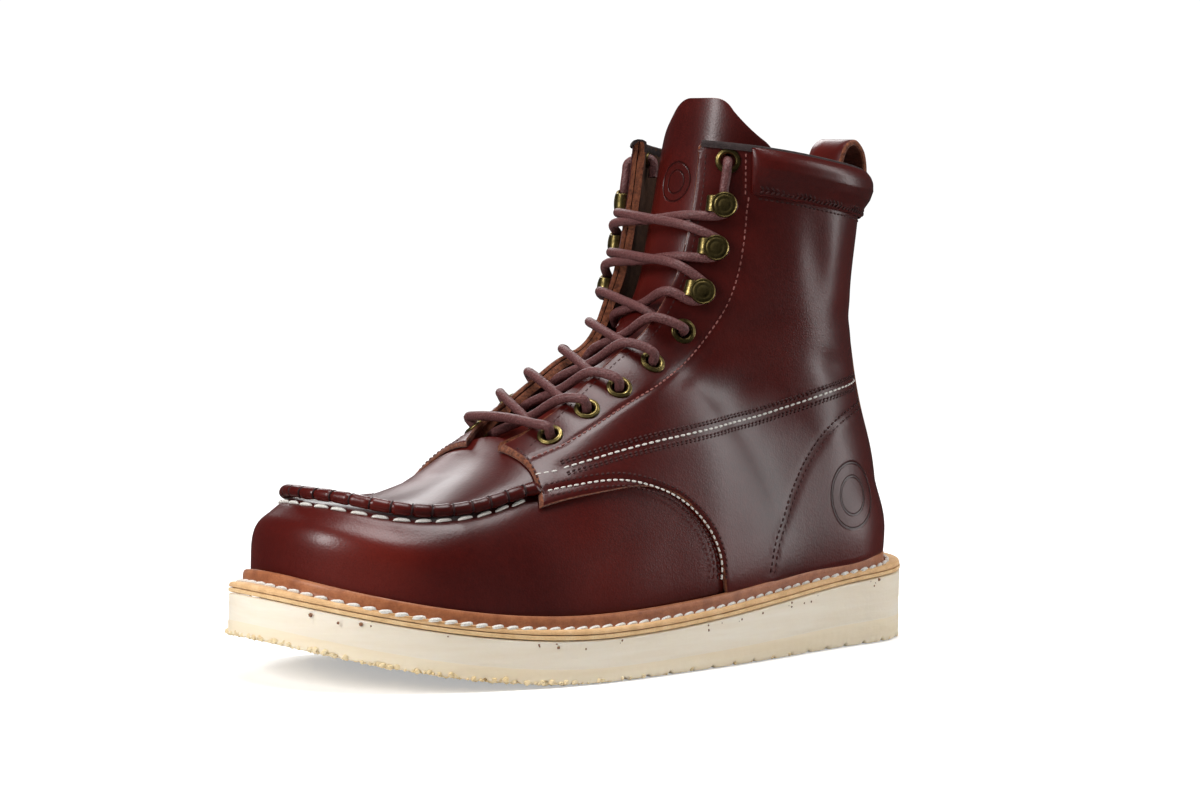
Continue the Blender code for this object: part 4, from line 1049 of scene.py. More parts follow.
def relief(p):
    """Height of creases and puckers at surface points."""
    total = np.zeros(p.shape[:-1])
    for along, height, side, slant, length, width, depth in CREASE_ROWS:
        dx = p[..., 0] - along * SOLE_LENGTH
        dz = p[..., 2] - height * SHAFT_HEIGHT
        a = np.cos(np.radians(slant)) * dx + np.sin(np.radians(slant)) * dz
        b = -np.sin(np.radians(slant)) * dx + np.cos(np.radians(slant)) * dz
        near = np.exp(-(a / (0.5 * length * BALL_WIDTH)) ** 2)
        across = (b / (width * BALL_WIDTH)) ** 2
        keep = 1.0 if side == 0.0 else 1.0 / (1.0 + np.exp(-side * p[..., 1] / (4.0 * MM)))
        total -= depth * MM * near * keep * (1.0 - 0.8 * across) * np.exp(-across)
    back = np.exp(-((p[..., 0] - 8.0 * MM) / (24.0 * MM)) ** 2)
    total -= 4.2 * MM * back * np.clip((p[..., 2] - 100.0 * MM) / (75.0 * MM), 0.0, 1.0) ** 1.5
    for place in PUCKER_PLACES:
        away = ((p - place) ** 2).sum(-1)
        total -= 0.75 * MM * np.exp(-away / (6.5 * MM) ** 2)
    return total


def trough(grid, line, width, depth):
    """Groove along a line on the surface."""
    flat = grid.reshape(-1, 3)
    low = line.min(0) - 3.0 * width
    high = line.max(0) + 3.0 * width
    inside = np.where(((flat > low) & (flat < high)).all(1))[0]
    result = np.zeros(len(flat))
    if len(inside):
        best = np.full(len(inside), 1.0)
        for part in np.array_split(line, max(1, len(line) // 40)):
            gap = ((flat[inside][:, None, :] - part[None]) ** 2).sum(-1).min(1)
            best = np.minimum(best, gap)
        result[inside] = -depth * np.exp(-best / width ** 2)
    return result.reshape(grid.shape[:2])


def dense(count, edge=0.45):
    """Places 0 to 1 with tighter steps at both ends."""
    t = np.linspace(0.0, 1.0, count)
    return np.concatenate([[0.0, edge * 0.4 * t[1]], t[1:-1], [1.0 - edge * 0.4 * t[1], 1.0]])


# Upper: vamp, apron and the lining behind the quarters

def upper_half(side, back_columns, lace_columns, toe_columns, low_rows, high_rows):
    apron = 214.0 * MM
    apron_share = np.arccos(1.0 - 2.0 * apron / SOLE_LENGTH) / np.pi
    x_out = np.concatenate([
        outline_x(np.linspace(0.0, 0.41, back_columns + 1)),
        np.linspace(outline_x(0.41), apron, lace_columns + 1)[1:],
        outline_x(np.linspace(apron_share, 1.0, toe_columns + 1))[1:],
    ])
    foot = base_line(side, x_out, lambda q: midsole_top(q) + 0.7 * MM)
    top = np.concatenate([
        collar_line(side, np.linspace(0.0, 1.0, back_columns + 1)),
        eyestay_line(side, np.linspace(0.0, 1.0, lace_columns + 1))[1:],
        throat_line(side, np.linspace(0.0, 1.0, toe_columns + 1))[1:],
    ])
    middle = np.interp(x_out, [0.0, 120.0 * MM, apron], [72.0 * MM, 74.0 * MM, 66.0 * MM])
    waist = girdle(x_out, side, middle)
    front = int(np.argmax(SEAM_LOOP[:, 0]))
    half = SEAM_LOOP[:front + 1] if side > 0.0 else SEAM_LOOP[:front - 1:-1]
    seam = resample(half, count=toe_columns + 1)
    split = back_columns + lace_columns
    step = seam[0] - waist[split]
    reach = lace_columns // 3
    for back in range(1, reach):
        waist[split - back] += step * (1.0 - back / reach)
    waist[split:] = seam
    rows = []
    for part in np.linspace(0.0, 1.0, low_rows + 1)[:-1]:
        rows.append(foot * (1.0 - part) + waist * part)
    high = np.concatenate([np.linspace(0.0, 1.0, high_rows + 1)[:-1], [1.0 - 0.3 / high_rows, 1.0]])
    for part in high:
        rows.append(waist * (1.0 - part) + top * part)
    grid = np.stack(rows)
    grid[1:-1] = settle(grid[1:-1])
    return grid


# Moc seam from the outer tab round the toe to the inner tab: along and across, in mm
SEAM_ROWS = ((210.0, 35.9), (216.0, 34.9), (224.5, 34.0), (234.5, 32.6), (244.0, 30.4),
             (253.0, 27.2), (264.0, 21.4), (273.6, 11.8), (279.4, -0.6), (281.6, -13.0),
             (279.6, -25.5), (274.6, -35.5), (266.0, -42.3), (254.0, -46.2), (240.0, -47.6),
             (226.0, -46.6), (214.0, -44.4), (210.0, -43.5))


def seam_loop():
    """Line of the moc ridge on the surface."""
    table = round_off(np.array([(x, y, 70.0) for x, y in SEAM_ROWS]) * MM, 12)
    return resample(settle(table, (0.0, 0.0, 1.0)), 0.5 * MM)


SEAM_LOOP = seam_loop()
# How far the ridge is lifted at the toe: along and lift
LIFT_ALONG = (255.0 * MM, 276.0 * MM)
LIFT = (0.0, 1.3 * MM)
SEAM_LIFT = np.interp(SEAM_LOOP[:, 0], LIFT_ALONG, LIFT)


def seam_gap(points):
    """Distance of surface points from the moc seam."""
    flat = points.reshape(-1, 3)
    best = np.full(len(flat), 1.0)
    near = flat[:, 0] > 190.0 * MM
    for part in np.array_split(SEAM_LOOP, 12):
        gap = ((flat[near][:, None, :] - part[None, ::2]) ** 2).sum(-1).min(1)
        best[near] = np.minimum(best[near], gap)
    return np.sqrt(best).reshape(points.shape[:-1])


def inside_seam(points):
    """1 on the apron, 0 on the vamp, from the seam's outline seen from above."""
    loop = SEAM_LOOP[::6, :2]
    x = points[..., 0]
    y = points[..., 1]
    count = np.zeros(x.shape, int)
    nxt = np.roll(loop, -1, axis=0)
    for (ax, ay), (bx, by) in zip(loop, nxt):
        crosses = (ay > y) != (by > y)
        at = ax + (y - ay) / ((by - ay) if abs(by - ay) > 1e-12 else 1e-12) * (bx - ax)
        count += crosses & (x < at)
    return (count % 2).astype(float)


def toe_shape(p):
    """Lower apron on the inner side, rounder toe below the seam and a lifted seam at the front."""
    gap = seam_gap(p)
    apron = inside_seam(p)
    x = p[..., 0]
    inner = 1.0 / (1.0 + np.exp((p[..., 1] + 2.0 * MM) / (6.0 * MM)))
    start = np.clip((x - 211.0 * MM) / (14.0 * MM), 0.0, 1.0)
    drop = -3.2 * MM * (1.0 - np.exp(-(gap / (9.0 * MM)) ** 2)) * inner * start * apron
    front = np.clip((x - 246.0 * MM) / (24.0 * MM), 0.0, 1.0)
    round_toe = -2.2 * MM * np.exp(-((gap - 9.5 * MM) / (7.0 * MM)) ** 2) * front * (1.0 - apron)
    lift = np.interp(x, LIFT_ALONG, LIFT) * np.exp(-(gap / (4.5 * MM)) ** 2)
    return drop + round_toe + lift


def make_upper():
    outer = upper_half(1.0, 36, 44, 74, 34, 44)
    inner = upper_half(-1.0, 36, 44, 74, 34, 44)
    grid = np.concatenate([outer, inner[:, -2:0:-1]], axis=1)
    top = relief(grid)
    top = top + trough(grid, SEAM_LOOP, 4.2 * MM, 1.0 * MM)
    top = top + toe_shape(grid)
    bottom = np.full(grid.shape[:2], -WALL - 0.6 * MM) + relief(grid) * 0.8 + toe_shape(grid)
    kinds = [LEATHER, LINING, RAW]
    item = sheet("upper_leather", grid, top, bottom, kinds, wrap=True, nodes=("upper",))
    pierce(item, (1.0, -1.0))
    return item


# Quarter: base line then arch along the bottom, collar then eyestay along the top

# Shares of the grid's columns where the bottom turns into the arch and the top into the eyestay
ARCH_SPLIT = 0.50
COLLAR_SPLIT = 0.45
CUT_BEVEL = 0.55 * MM

def quarter_grid(side):
    columns = 150
    rows = 116
    share = dense(columns, 0.9)
    split = ARCH_SPLIT
    x_arch = ARCH_ROWS[0][1] * SOLE_LENGTH
    arch_share = np.arccos(1.0 - 2.0 * x_arch / SOLE_LENGTH) / np.pi
    low = np.zeros((len(share), 3))
    back = share <= split
    s = share[back] / split
    x = outline_x(arch_share * s)
    low[back] = base_line(side, x, lambda q: lip_top(q) - 1.5 * MM)
    s = (share[~back] - split) / (1.0 - split)
    start = low[back][-1]
    ax = look_up(ARCH_COLUMNS, ARCH_ROWS, "along", s) * SOLE_LENGTH
    az = look_up(ARCH_COLUMNS, ARCH_ROWS, "height", s) * SHAFT_HEIGHT
    arch = np.stack([ax, sole_centre(ax), az], -1)
    heading = np.zeros_like(arch)
    heading[:, 1] = side
    low[~back] = cast(arch, heading)
    fade = np.exp(-s / 0.02)[:, None]
    low[~back] = low[~back] * (1.0 - fade) + start * fade
    top = np.zeros((len(share), 3))
    first = share <= COLLAR_SPLIT
    top[first] = collar_line(side, share[first] / COLLAR_SPLIT)
    top[~first] = eyestay_line(side, (share[~first] - COLLAR_SPLIT) / (1.0 - COLLAR_SPLIT))
    s = (share[~first] - COLLAR_SPLIT) / (1.0 - COLLAR_SPLIT)
    inward = np.interp(s, [0.0, 0.86, 0.95, 1.0], [0.0, 0.0, 3.5, 8.6]) * MM
    top[~first] = settle(top[~first] - np.array([0.0, side, 0.0]) * inward[:, None], (0.0, 0.0, 1.0))
    tall = dense(rows, 0.9)
    grid = low[None] * (1.0 - tall[:, None, None]) + top[None] * tall[:, None, None]
    tab_z = grid[:, -1, 2]
    tab_x = look_up(TAB_COLUMNS, TAB_ROWS, "along", tab_z / SHAFT_HEIGHT) * SOLE_LENGTH
    lean = tab_x - grid[:, -1, 0]
    weight = np.clip((share - 0.82) / 0.18, 0.0, 1.0) ** 2
    grid[..., 0] += lean[:, None] * weight[None]
    edge_low = grid[0].copy()
    edge_top = grid[-1].copy()
    grid = settle(grid)
    edge = grid[:, -1].copy()
    for _ in range(3):
        edge[:, 0] = look_up(TAB_COLUMNS, TAB_ROWS, "along", edge[:, 2] / SHAFT_HEIGHT) * SOLE_LENGTH
        edge = settle(edge, (0.0, 1.0, 1.0))
    move = edge - grid[:, -1]
    grid += move[:, None] * weight[None, :, None]
    grid = settle(grid)
    grid[0] = settle(edge_low)
    grid[-1] = edge_top
    return grid


DIAGONAL = ((198.7, 77.9), (189.7, 80.5), (175.2, 84.2), (158.7, 87.3), (140.7, 89.8),
            (121.1, 92.0), (98.8, 95.0), (75.6, 99.9), (57.8, 103.5), (37.4, 106.1),
            (24.0, 107.0))
COUNTER = ((96.5, 33.0), (93.6, 44.4), (88.0, 53.9), (80.9, 65.3), (69.3, 78.6), (54.7, 90.1),
           (38.0, 95.6), (22.0, 97.0))
EYESTAY_ROW = ((206.0, 80.6), (192.9, 86.6), (174.9, 95.9), (162.2, 102.4), (147.4, 109.2),
               (131.0, 117.9), (119.4, 130.3), (113.3, 140.9), (109.8, 151.1), (107.6, 163.7),
               (106.4, 176.6), (105.7, 182.0))
ARCH_WHITE = ((128.4, 33.2), (128.3, 39.7), (131.2, 47.5), (136.0, 54.5), (143.9, 61.7),
              (152.7, 67.1), (163.3, 71.1), (175.4, 73.6), (186.1, 73.6), (200.1, 71.6),
              (208.6, 70.0))

LINES = {}
for _side in (1.0, -1.0):
    LINES[_side] = {
        "diagonal": side_line(_side, DIAGONAL),
        "counter": side_line(_side, COUNTER),
        "eyestay": side_line(_side, EYESTAY_ROW),
        "arch": side_line(_side, ARCH_WHITE),
    }


def counter_step(grid):
    """Low step of the heel counter behind its seam."""
    x = np.interp(grid[..., 2], [32 * MM, 44 * MM, 54 * MM, 65 * MM, 79 * MM, 90 * MM, 97 * MM],
                  [97 * MM, 93.6 * MM, 88 * MM, 81 * MM, 69 * MM, 55 * MM, 20 * MM])
    return 0.45 * MM / (1.0 + np.exp((grid[..., 0] - x) / (0.8 * MM)))


# Grooves that the seams press into a quarter: line, width and depth in mm
SEAM_TROUGHS = (("diagonal", 3.4, 0.45), ("counter", 1.5, 0.45), ("eyestay", 1.2, 0.35),
                ("arch", 1.4, 0.40))


def make_quarter(name, side):
    grid = quarter_grid(side)
    seams = LINES[side]
    outside = relief(grid)
    shape = outside + counter_step(grid)
    for seam, width, depth in SEAM_TROUGHS:
        shape = shape + trough(grid, seams[seam], width * MM, depth * MM)
    top = OUTSIDE + shape
    for loop in (grid[:, 0:1], grid[:, -1:], grid[0:1], grid[-1:]):
        edge = loop.reshape(-1, 3)
        top = top + trough(grid, edge, 0.7 * MM, 0.35 * MM)
    low = PANEL_GAP + outside
    rows, columns = grid.shape[:2]
    cut = np.zeros((rows - 1, columns - 1), int)
    wide = 2 if side > 0.0 else 1
    cut[:, -wide:] = 1
    cut[-wide:, int(COLLAR_SPLIT * columns):] = 1
    cut[:1, int(ARCH_SPLIT * columns):] = 1
    top[:, -1] -= CUT_BEVEL
    top[-1, int(COLLAR_SPLIT * columns):] -= CUT_BEVEL
    kinds = [QUARTER_LEATHER, FLESH, RAW]
    item = sheet(name + "_leather", grid, top, low, kinds, nodes=(name,), cut=cut)
    pierce(item, (side,))
    return item


HOLE_SIDES = 16


def pierce(item, side_list):
    """Round holes for the lace under every eyelet."""
    cutters = []
    for side in side_list:
        places = fitting_places(side)
        n = normals(places)
        for i, row in enumerate(FITTING_ROWS):
            if row[HOOK]:
                continue
            axis, t, b = frame_of(n[i], np.array([0.0, side, 0.0]))
            angles = np.linspace(0.0, 2.0 * np.pi, HOLE_SIDES, endpoint=False)
            ring = EYELET_HOLE * 1.02 * (np.cos(angles)[:, None] * t + np.sin(angles)[:, None] * b)
            reach = axis * 7.0 * MM
            cutters.append(np.stack([places[i] - reach + ring, places[i] + reach + ring]))
    points = np.concatenate([c.reshape(-1, 3) for c in cutters]) - ORIGIN
    faces = []
    for c in range(len(cutters)):
        base = c * 2 * HOLE_SIDES
        top = base + HOLE_SIDES
        faces += band(base, top, HOLE_SIDES)
        faces.append(tuple(base + j for j in reversed(range(HOLE_SIDES))))
        faces.append(tuple(top + j for j in range(HOLE_SIDES)))
    mesh = bpy.data.meshes.new("punch")
    mesh.from_pydata(points.tolist(), [], faces)
    cutter = bpy.data.objects.new("punch", mesh)
    bpy.context.scene.collection.objects.link(cutter)
    modifier = item.modifiers.new("holes", "BOOLEAN")
    modifier.operation = "DIFFERENCE"
    modifier.solver = "EXACT"
    modifier.object = cutter
    bpy.context.view_layer.update()
    graph = bpy.context.evaluated_depsgraph_get()
    result = bpy.data.meshes.new_from_object(item.evaluated_get(graph))
    item.modifiers.clear()
    item.data = result
    bpy.data.objects.remove(cutter)


# Collar, binding, backstay, pull loop

def make_collar():
    share = np.linspace(0.0, CUFF_END, 70)
    rows = 26
    halves = []
    for side in (1.0, -1.0):
        halves.append(np.stack([collar_line(side, share, CUFF_HEIGHT * (1.0 - i / (rows - 1.0)))
                                for i in range(rows)]))
    grid = np.concatenate([halves[1][:, :0:-1], halves[0]], axis=1)
    columns = grid.shape[1]
    v = np.linspace(0.0, 1.0, rows)
    base = OUTSIDE + 0.15 * MM
    roll = np.interp(v, [0.0, 0.06, 0.14, 0.24, 0.40, 0.60, 0.78, 0.90, 1.0],
                     [1.1, 1.5, 1.7, 2.5, 4.0, 4.9, 4.5, 3.4, 1.6]) * MM
    u = np.linspace(0.0, 1.0, columns)
    edge = np.clip(np.minimum(u, 1.0 - u) / 0.05, 0.0, 1.0) ** 0.5
    pucker = 0.25 * MM * np.sin(u * columns * 0.55) * np.exp(-((v[:, None] - 0.16) / 0.10) ** 2)
    swell = 1.3 * MM + (roll[:, None] - 1.3 * MM) * (0.10 + 0.90 * edge[None]) + pucker
    item = sheet("collar_roll", grid, base + swell + relief(grid), np.full(grid.shape[:2], base),
                 [LEATHER, FLESH, LEATHER], nodes=("collar",))
    return item


# Out and up from the collar's edge, in mm
BINDING_PROFILE = ((-2.6, -4.0), (-3.1, -2.0), (-2.7, 0.2), (-1.2, 1.0), (0.8, 1.15), (2.3, 0.7),
                   (3.1, -0.4), (3.3, -1.6), (2.2, -1.2), (0.6, 0.2), (-1.2, 0.15), (-2.0, -1.0),
                   (-2.1, -4.0))


def make_binding():
    """Dark tape folded over the top edge."""
    share = np.linspace(0.0, 1.0, 120)
    outer = collar_line(1.0, share)
    inner = collar_line(-1.0, share)
    line = np.concatenate([inner[:0:-1], outer])
    line = resample(line, 1.5 * MM)
    n = normals(line)
    n[:, 2] = 0.0
    n = unit(n)
    line = line + n * relief(line)[:, None]
    wave = 0.12 * MM * np.sin(np.arange(len(line)) * 1.9)
    sections = []
    for out, up in BINDING_PROFILE:
        sections.append(line + n * (out * MM + wave)[:, None] + np.array([0.0, 0.0, up * MM]))
    sections = np.stack(sections, axis=1)
    sweep("collar_binding", sections, False, [BINDING])


def make_backstay():
    rows = 90
    columns = 26
    spread = np.linspace(-1.0, 1.0, columns)
    height = np.linspace(39.5 * MM, COLLAR_BACK - CUFF_HEIGHT - 1.0 * MM, rows)
    width = np.interp(height, [39.5 * MM, 90.0 * MM, 170.0 * MM], [15.0 * MM, 12.0 * MM, 11.0 * MM])
    start = np.zeros((rows, columns, 3))
    start[..., 0] = SHAFT_INSIDE
    start[..., 1] = 0.5 * MM + spread[None, :] * width[:, None]
    start[..., 2] = height[:, None]
    heading = np.zeros((rows, columns, 3))
    heading[..., 0] = -1.0
    grid = cast(start, heading)
    lift = OUTSIDE + 0.55 * MM
    top = lift + 1.3 * MM + relief(grid)
    stitch = grid[:, [2, -3]]
    for k in (0, 1):
        top = top + trough(grid, stitch[:, k], 1.0 * MM, 0.25 * MM)
    sheet("backstay_strip", grid, top, lift + relief(grid), [LEATHER, FLESH, RAW], nodes=("backstay",))
    for k in (0, 1):
        brown.row(stitch[:, k], lift + 1.3 * MM, 2.6 * MM, 1.9 * MM, 0.38 * MM)


PULL_ROWS = ((-6.6, -17.0), (-9.8, -9.0), (-11.4, -1.0), (-11.4, 5.0), (-9.6, 11.0), (-5.4, 14.6),
             (-0.8, 12.5), (2.2, 6.5), (4.4, -1.0), (6.0, -14.0))


# Strap's cross section: shares of half its thickness and half its width
STRAP_PROFILE = ((1.0, -0.93), (1.0, -0.5), (1.0, 0.0), (1.0, 0.5), (1.0, 0.93), (0.6, 1.0), (0.0, 1.02),
                 (-0.6, 1.0), (-1.0, 0.93), (-1.0, 0.0), (-1.0, -0.93), (-0.6, -1.0), (0.0, -1.02),
                 (0.6, -1.0))


def make_pull_loop():
    start = np.array([[SHAFT_INSIDE, 0.3 * MM, COLLAR_BACK]])
    middle = cast(start, np.array([[-1.0, 0.0, 0.0]]))[0][0]
    path = round_off(np.array([(middle + a * MM, COLLAR_BACK + b * MM) for a, b in PULL_ROWS]), 9)
    ahead = unit(np.gradient(path, axis=0))
    out = np.stack([-ahead[:, 1], ahead[:, 0]], -1)
    half = 1.15 * MM
    wide = 10.0 * MM
    sections = []
    for i in range(len(path)):
        ring = []
        for a, b in STRAP_PROFILE:
            q = path[i] + out[i] * half * a
            ring.append((q[0], 0.5 * MM + wide * b, q[1]))
        sections.append(ring)
    kinds = [0] * 4 + [2] * 4 + [1] * 2 + [2] * 4
    sweep("pull_loop_strap", np.array(sections), False, [LEATHER, FLESH, RAW], kinds,
          nodes=("pull_loop",), angle=40.0)


# Tongue

# Row and column of the grid in the middle of the plain rings, and their outer radius
TONGUE_BADGE_AT = (133, 35)
TONGUE_BADGE = 8.6 * MM


def make_tongue():
    rows = np.asarray(TONGUE_ROWS, float)
    count = len(rows)
    fine = np.linspace(0.0, count - 1.0, 170)
    table = np.column_stack([spline(np.arange(count), rows[:, k], fine) for k in range(6)])
    columns = 74
    spread = np.sin(np.linspace(-0.5, 0.5, columns) * np.pi * 0.96) / np.sin(0.48 * np.pi)
    grid = np.zeros((len(fine), columns, 3))
    for i in range(len(fine)):
        reach = np.where(spread > 0.0, table[i, OUTER], table[i, INNER]) * MM
        above = max(fine[i] - 9.0, 0.0) / 3.0
        power = np.where(spread > 0.0, 7.0, 1.7)
        fall = np.where(spread > 0.0, 13.0, 9.0) * MM * np.abs(spread) ** power * above
        grid[i, :, 0] = table[i, ALONG] * SOLE_LENGTH
        grid[i, :, 1] = LACING_MIDDLE + spread * reach
        grid[i, :, 2] = table[i, HEIGHT] * SHAFT_HEIGHT - fall
    lean = np.clip((fine - 5.0) / 3.0, 0.0, 1.0)
    for i in range(len(fine)):
        grid[i] = settle(grid[i], (0.15 + 0.85 * lean[i], 0.0, 1.0 - lean[i]))
    middle = table[:, DROP:DROP + 1] * MM
    edge = table[:, EDGE_DROP:EDGE_DROP + 1] * MM
    drop = middle + (edge - middle) * spread[None] ** 2
    wave = 0.5 * MM * np.sin(fine[:, None] * 2.4 + 0.7) * np.cos(spread[None] * 1.4)
    wave = wave * np.clip(fine[:, None] / 3.0, 0.0, 1.0)
    wave = wave * np.clip((10.5 - fine[:, None]) / 2.0, 0.0, 1.0)
    row, column = TONGUE_BADGE_AT
    centre = grid[row, column]
    away = np.linalg.norm(grid - centre, axis=-1) / TONGUE_BADGE
    rings = np.exp(-((away - 0.95) / 0.045) ** 2) + np.exp(-((away - 0.60) / 0.045) ** 2)
    angle = np.arctan2(grid[..., 1] - centre[1], grid[..., 2] - centre[2])
    ticks = (np.cos(angle * 24.0) > 0.2) * np.exp(-((away - 0.78) / 0.08) ** 2)
    press = -0.30 * MM * rings - 0.22 * MM * ticks
    n = normals(grid[row:row + 1, column - 1:column + 2])[0, 1]
    seat = centre - n * drop[row, column] - ORIGIN
    marked = leather("wine_leather_tongue", WINE_DARK, WINE_DEEP, WINE_BRIGHT, 0.34, (seat, TONGUE_BADGE))
    item = sheet("tongue_leather", grid, -drop + wave + press, -drop - TONGUE_THICK + wave,
                 [marked, FLESH, RAW], nodes=("tongue",))
    return item


# Moc seam

def make_moc_seam():
    line = SEAM_LOOP + normals(SEAM_LOOP) * SEAM_LIFT[:, None]
    n = normals(SEAM_LOOP)
    ahead = unit(np.gradient(line, axis=0))
    side = np.cross(n, ahead)
    run = np.arange(len(line)) * 0.5 * MM
    pitch = 7.6 * MM
    phase = (run / pitch) % 1.0
    near = np.minimum(phase, 1.0 - phase) * pitch
    nick = np.exp(-(near / (0.75 * MM)) ** 2)
    corners = 18
    angles = np.linspace(-0.32 * np.pi, 1.32 * np.pi, corners)
    sections = []
    ends = np.clip(np.minimum(run, run[-1] - run) / (3.0 * MM), 0.0, 1.0) ** 0.5
    swell = 1.0 - 0.17 * nick + 0.03 * np.sin(run / pitch * 5.1)
    for a in angles:
        wide = 2.6 * MM * np.cos(a) * swell
        tall = (2.1 * MM + 2.4 * MM * np.sin(a) * swell) * (0.35 + 0.65 * ends)
        sections.append(line + side * wide[:, None] + n * (tall - 0.2 * MM)[:, None])
    sweep("moc_ridge", np.stack(sections, axis=1), False, [LEATHER], nodes=("moc_seam",))
    crossings = np.where((phase[1:] < phase[:-1]))[0]
    for i in crossings:
        loop = []
        for a in np.linspace(-0.22 * np.pi, 1.22 * np.pi, 14):
            wide = 2.35 * MM * np.cos(a)
            tall = (2.1 * MM + 2.1 * MM * np.sin(a)) * (0.35 + 0.65 * ends[i])
            lean = ahead[i] * 0.45 * MM * np.cos(a)
            loop.append(line[i] + side[i] * wide + n[i] * (tall - 0.2 * MM) + lean)
        NICKS.append(cord_sections(loop, 0.34 * MM, 6))
    middle = 0.5 * (crossings[1:] + crossings[:-1])
    centre = line.mean(0)
    outward = np.sign(((line[len(line) // 2] - centre) * side[len(line) // 2]).sum())
    middle = middle.astype(int)
    for i in middle:
        far = line[i, 1] < 0.0 and line[i, 0] < 277.0 * MM
        for away in ((2.9, -2.9) if far else (2.9 * outward,)):
            p = settle((SEAM_LOOP[i] + side[i] * away * MM)[None])
            level = relief(p) + toe_shape(p) - 0.35 * MM
            white.add(p + normals(p) * level[:, None], ahead[i][None], normals(p),
                      6.7 * MM, 0.66 * MM, 0.2, 0.09 * np.sign(away), 0.40 * MM)


NICKS = []


def make_nicks():
    points = []
    faces = []
    base = 0
    for sections in NICKS:
        count, corners = sections.shape[:2]
        points.append(sections.reshape(-1, 3))
        faces += tube(count, corners, False, base)
        base += count * corners
    add_piece("moc_nicks", np.concatenate(points), faces, [DARK_THREAD])


# Sole

def sole_rim(x):
    """The sole's outline, along its outer side and back along the inner one."""
    outer = np.stack([x, sole_centre(x) + sole_half_width(x), x * 0.0], -1)
    inner = np.stack([x, sole_centre(x) - sole_half_width(x), x * 0.0], -1)
    return np.concatenate([outer, inner[-2:0:-1]])


def outline_loop(count):
    loop = sole_rim(outline_x(np.linspace(0.0, 1.0, count // 2 + 1)))
    closed = np.concatenate([loop, loop[:1]])
    return resample(closed, count=count + 1)[:-1]


def loop_frame(loop):
    ahead = np.roll(loop, -1, axis=0) - np.roll(loop, 1, axis=0)
    ahead = ahead / np.linalg.norm(ahead, axis=1, keepdims=True)
    out = np.stack([-ahead[:, 1], ahead[:, 0], ahead[:, 2] * 0.0], -1)
    middle = np.stack([spine(loop[:, 0]), loop[:, 1] * 0.0, loop[:, 2]], -1)
    middle[:, 1] = sole_centre(middle[:, 0])
    sign = np.sign(((loop - middle) * out).sum(1, keepdims=True))
    return out * sign, middle


def wobble(x, scale, seed, octaves=3):
    """Smooth repeatable unevenness along a length."""
    rng = np.random.default_rng(seed)
    total = np.zeros_like(x)
    for k in range(octaves):
        for _ in range(4):
            wave = scale / (1.8 ** k) * rng.uniform(0.6, 1.4)
            total += np.sin(2.0 * np.pi * x / wave + rng.uniform(0.0, 6.28)) / (1.7 ** k)
    return total / 4.0


def disc(rings, edge_ring, middle, height_of, parts):
    for part in parts:
        ring = edge_ring * (1.0 - part) + middle * part
        ring[:, 2] = height_of(ring)
        rings.append(ring)


def tread(x):
    """Depth of the grooves between the tread's flat bars."""
    wave = (x / TREAD_PITCH - 2.0 * MM / TREAD_PITCH) % 1.0
    groove = np.clip(1.0 - np.abs(wave - GROOVE_HALF) / GROOVE_HALF, 0.0, 1.0) ** 0.6 * TREAD_DEPTH
    return groove * (x > TREAD_START) * (x < TREAD_END)


def make_outsole():
    count = 900
    loop = outline_loop(count)
    out, middle = loop_frame(loop)
    run = np.arange(count) / count * SOLE_ROUND
    x = loop[:, 0]
    base = sole_bottom(x)
    top = wedge_top(x)
    seam = base + 0.36 * (top - base)
    groove = tread(x)
    crumb = wobble(run, 4.2 * MM, 5) * 0.34 * MM
    rings = []
    kinds = []

    def ring(away, height, kind):
        move = out[:, :2] * np.broadcast_to(away, count)[:, None]
        rings.append(np.column_stack([loop[:, :2] + move, height]))
        kinds.append(kind)

    rings_top = []
    edge = np.column_stack([loop[:, :2] - out[:, :2] * 1.2 * MM, top - 0.5 * SEAT_GAP])
    disc(rings_top, edge, middle, lambda r: wedge_top(r[:, 0]) - 0.5 * SEAT_GAP, (1.0, 0.7, 0.4, 0.15))
    for r in rings_top:
        rings.append(r)
        kinds.append(0)
    ring(-1.2 * MM, top - 0.5 * SEAT_GAP, 0)
    ring(-0.35 * MM, top - 0.5 * SEAT_GAP - 0.1 * MM, 0)
    ring(-0.05 * MM + wobble(run, 22 * MM, 3) * 0.10 * MM, top - 0.7 * MM, 0)
    for part in (0.9, 0.75, 0.6, 0.45, 0.3, 0.15):
        ring(wobble(run + part, 30 * MM, 4) * 0.12 * MM - 0.10 * MM, seam + (top - seam) * part, 0)
    ring(0.0 * MM, seam + 0.25 * MM, 0)
    ring(-0.08 * MM, seam, 0)
    ring(0.03 * MM, seam - 0.25 * MM, 1)
    for part in (0.8, 0.6, 0.4, 0.25):
        height = base + (seam - base) * part + groove * 0.2
        ring(wobble(run + part, 14 * MM, 6) * 0.16 * MM + 0.05 * MM, height, 1)
    ring(crumb * 0.8 + 0.1 * MM, base + 0.9 * MM + groove, 1)
    ring(crumb - 0.2 * MM, base + 0.30 * MM + groove * 0.98, 1)
    ring(crumb - 1.0 * MM, base + groove, 1)
    inner = np.column_stack([loop[:, :2] - out[:, :2] * 1.0 * MM, base])
    lower = []

    disc(lower, inner, middle, lambda r: sole_bottom(r[:, 0]) + tread(r[:, 0]),
         (0.04, 0.10, 0.2, 0.32, 0.45, 0.6, 0.75, 0.88, 1.0))
    for r in lower:
        rings.append(r)
        kinds.append(1)
    grid = np.stack(rings)
    faces = quads(len(rings), count, 0, True)
    index = np.repeat(kinds[:-1], count).tolist()
    add_piece("crepe_sole", grid.reshape(-1, 3), faces, [CREPE_TOP, CREPE_LOW], index,
              ("outsole",), 60.0)


LUMP_SIDES = 6
CRUMB_PLACES = 1480
GLUE_PLACES = 46


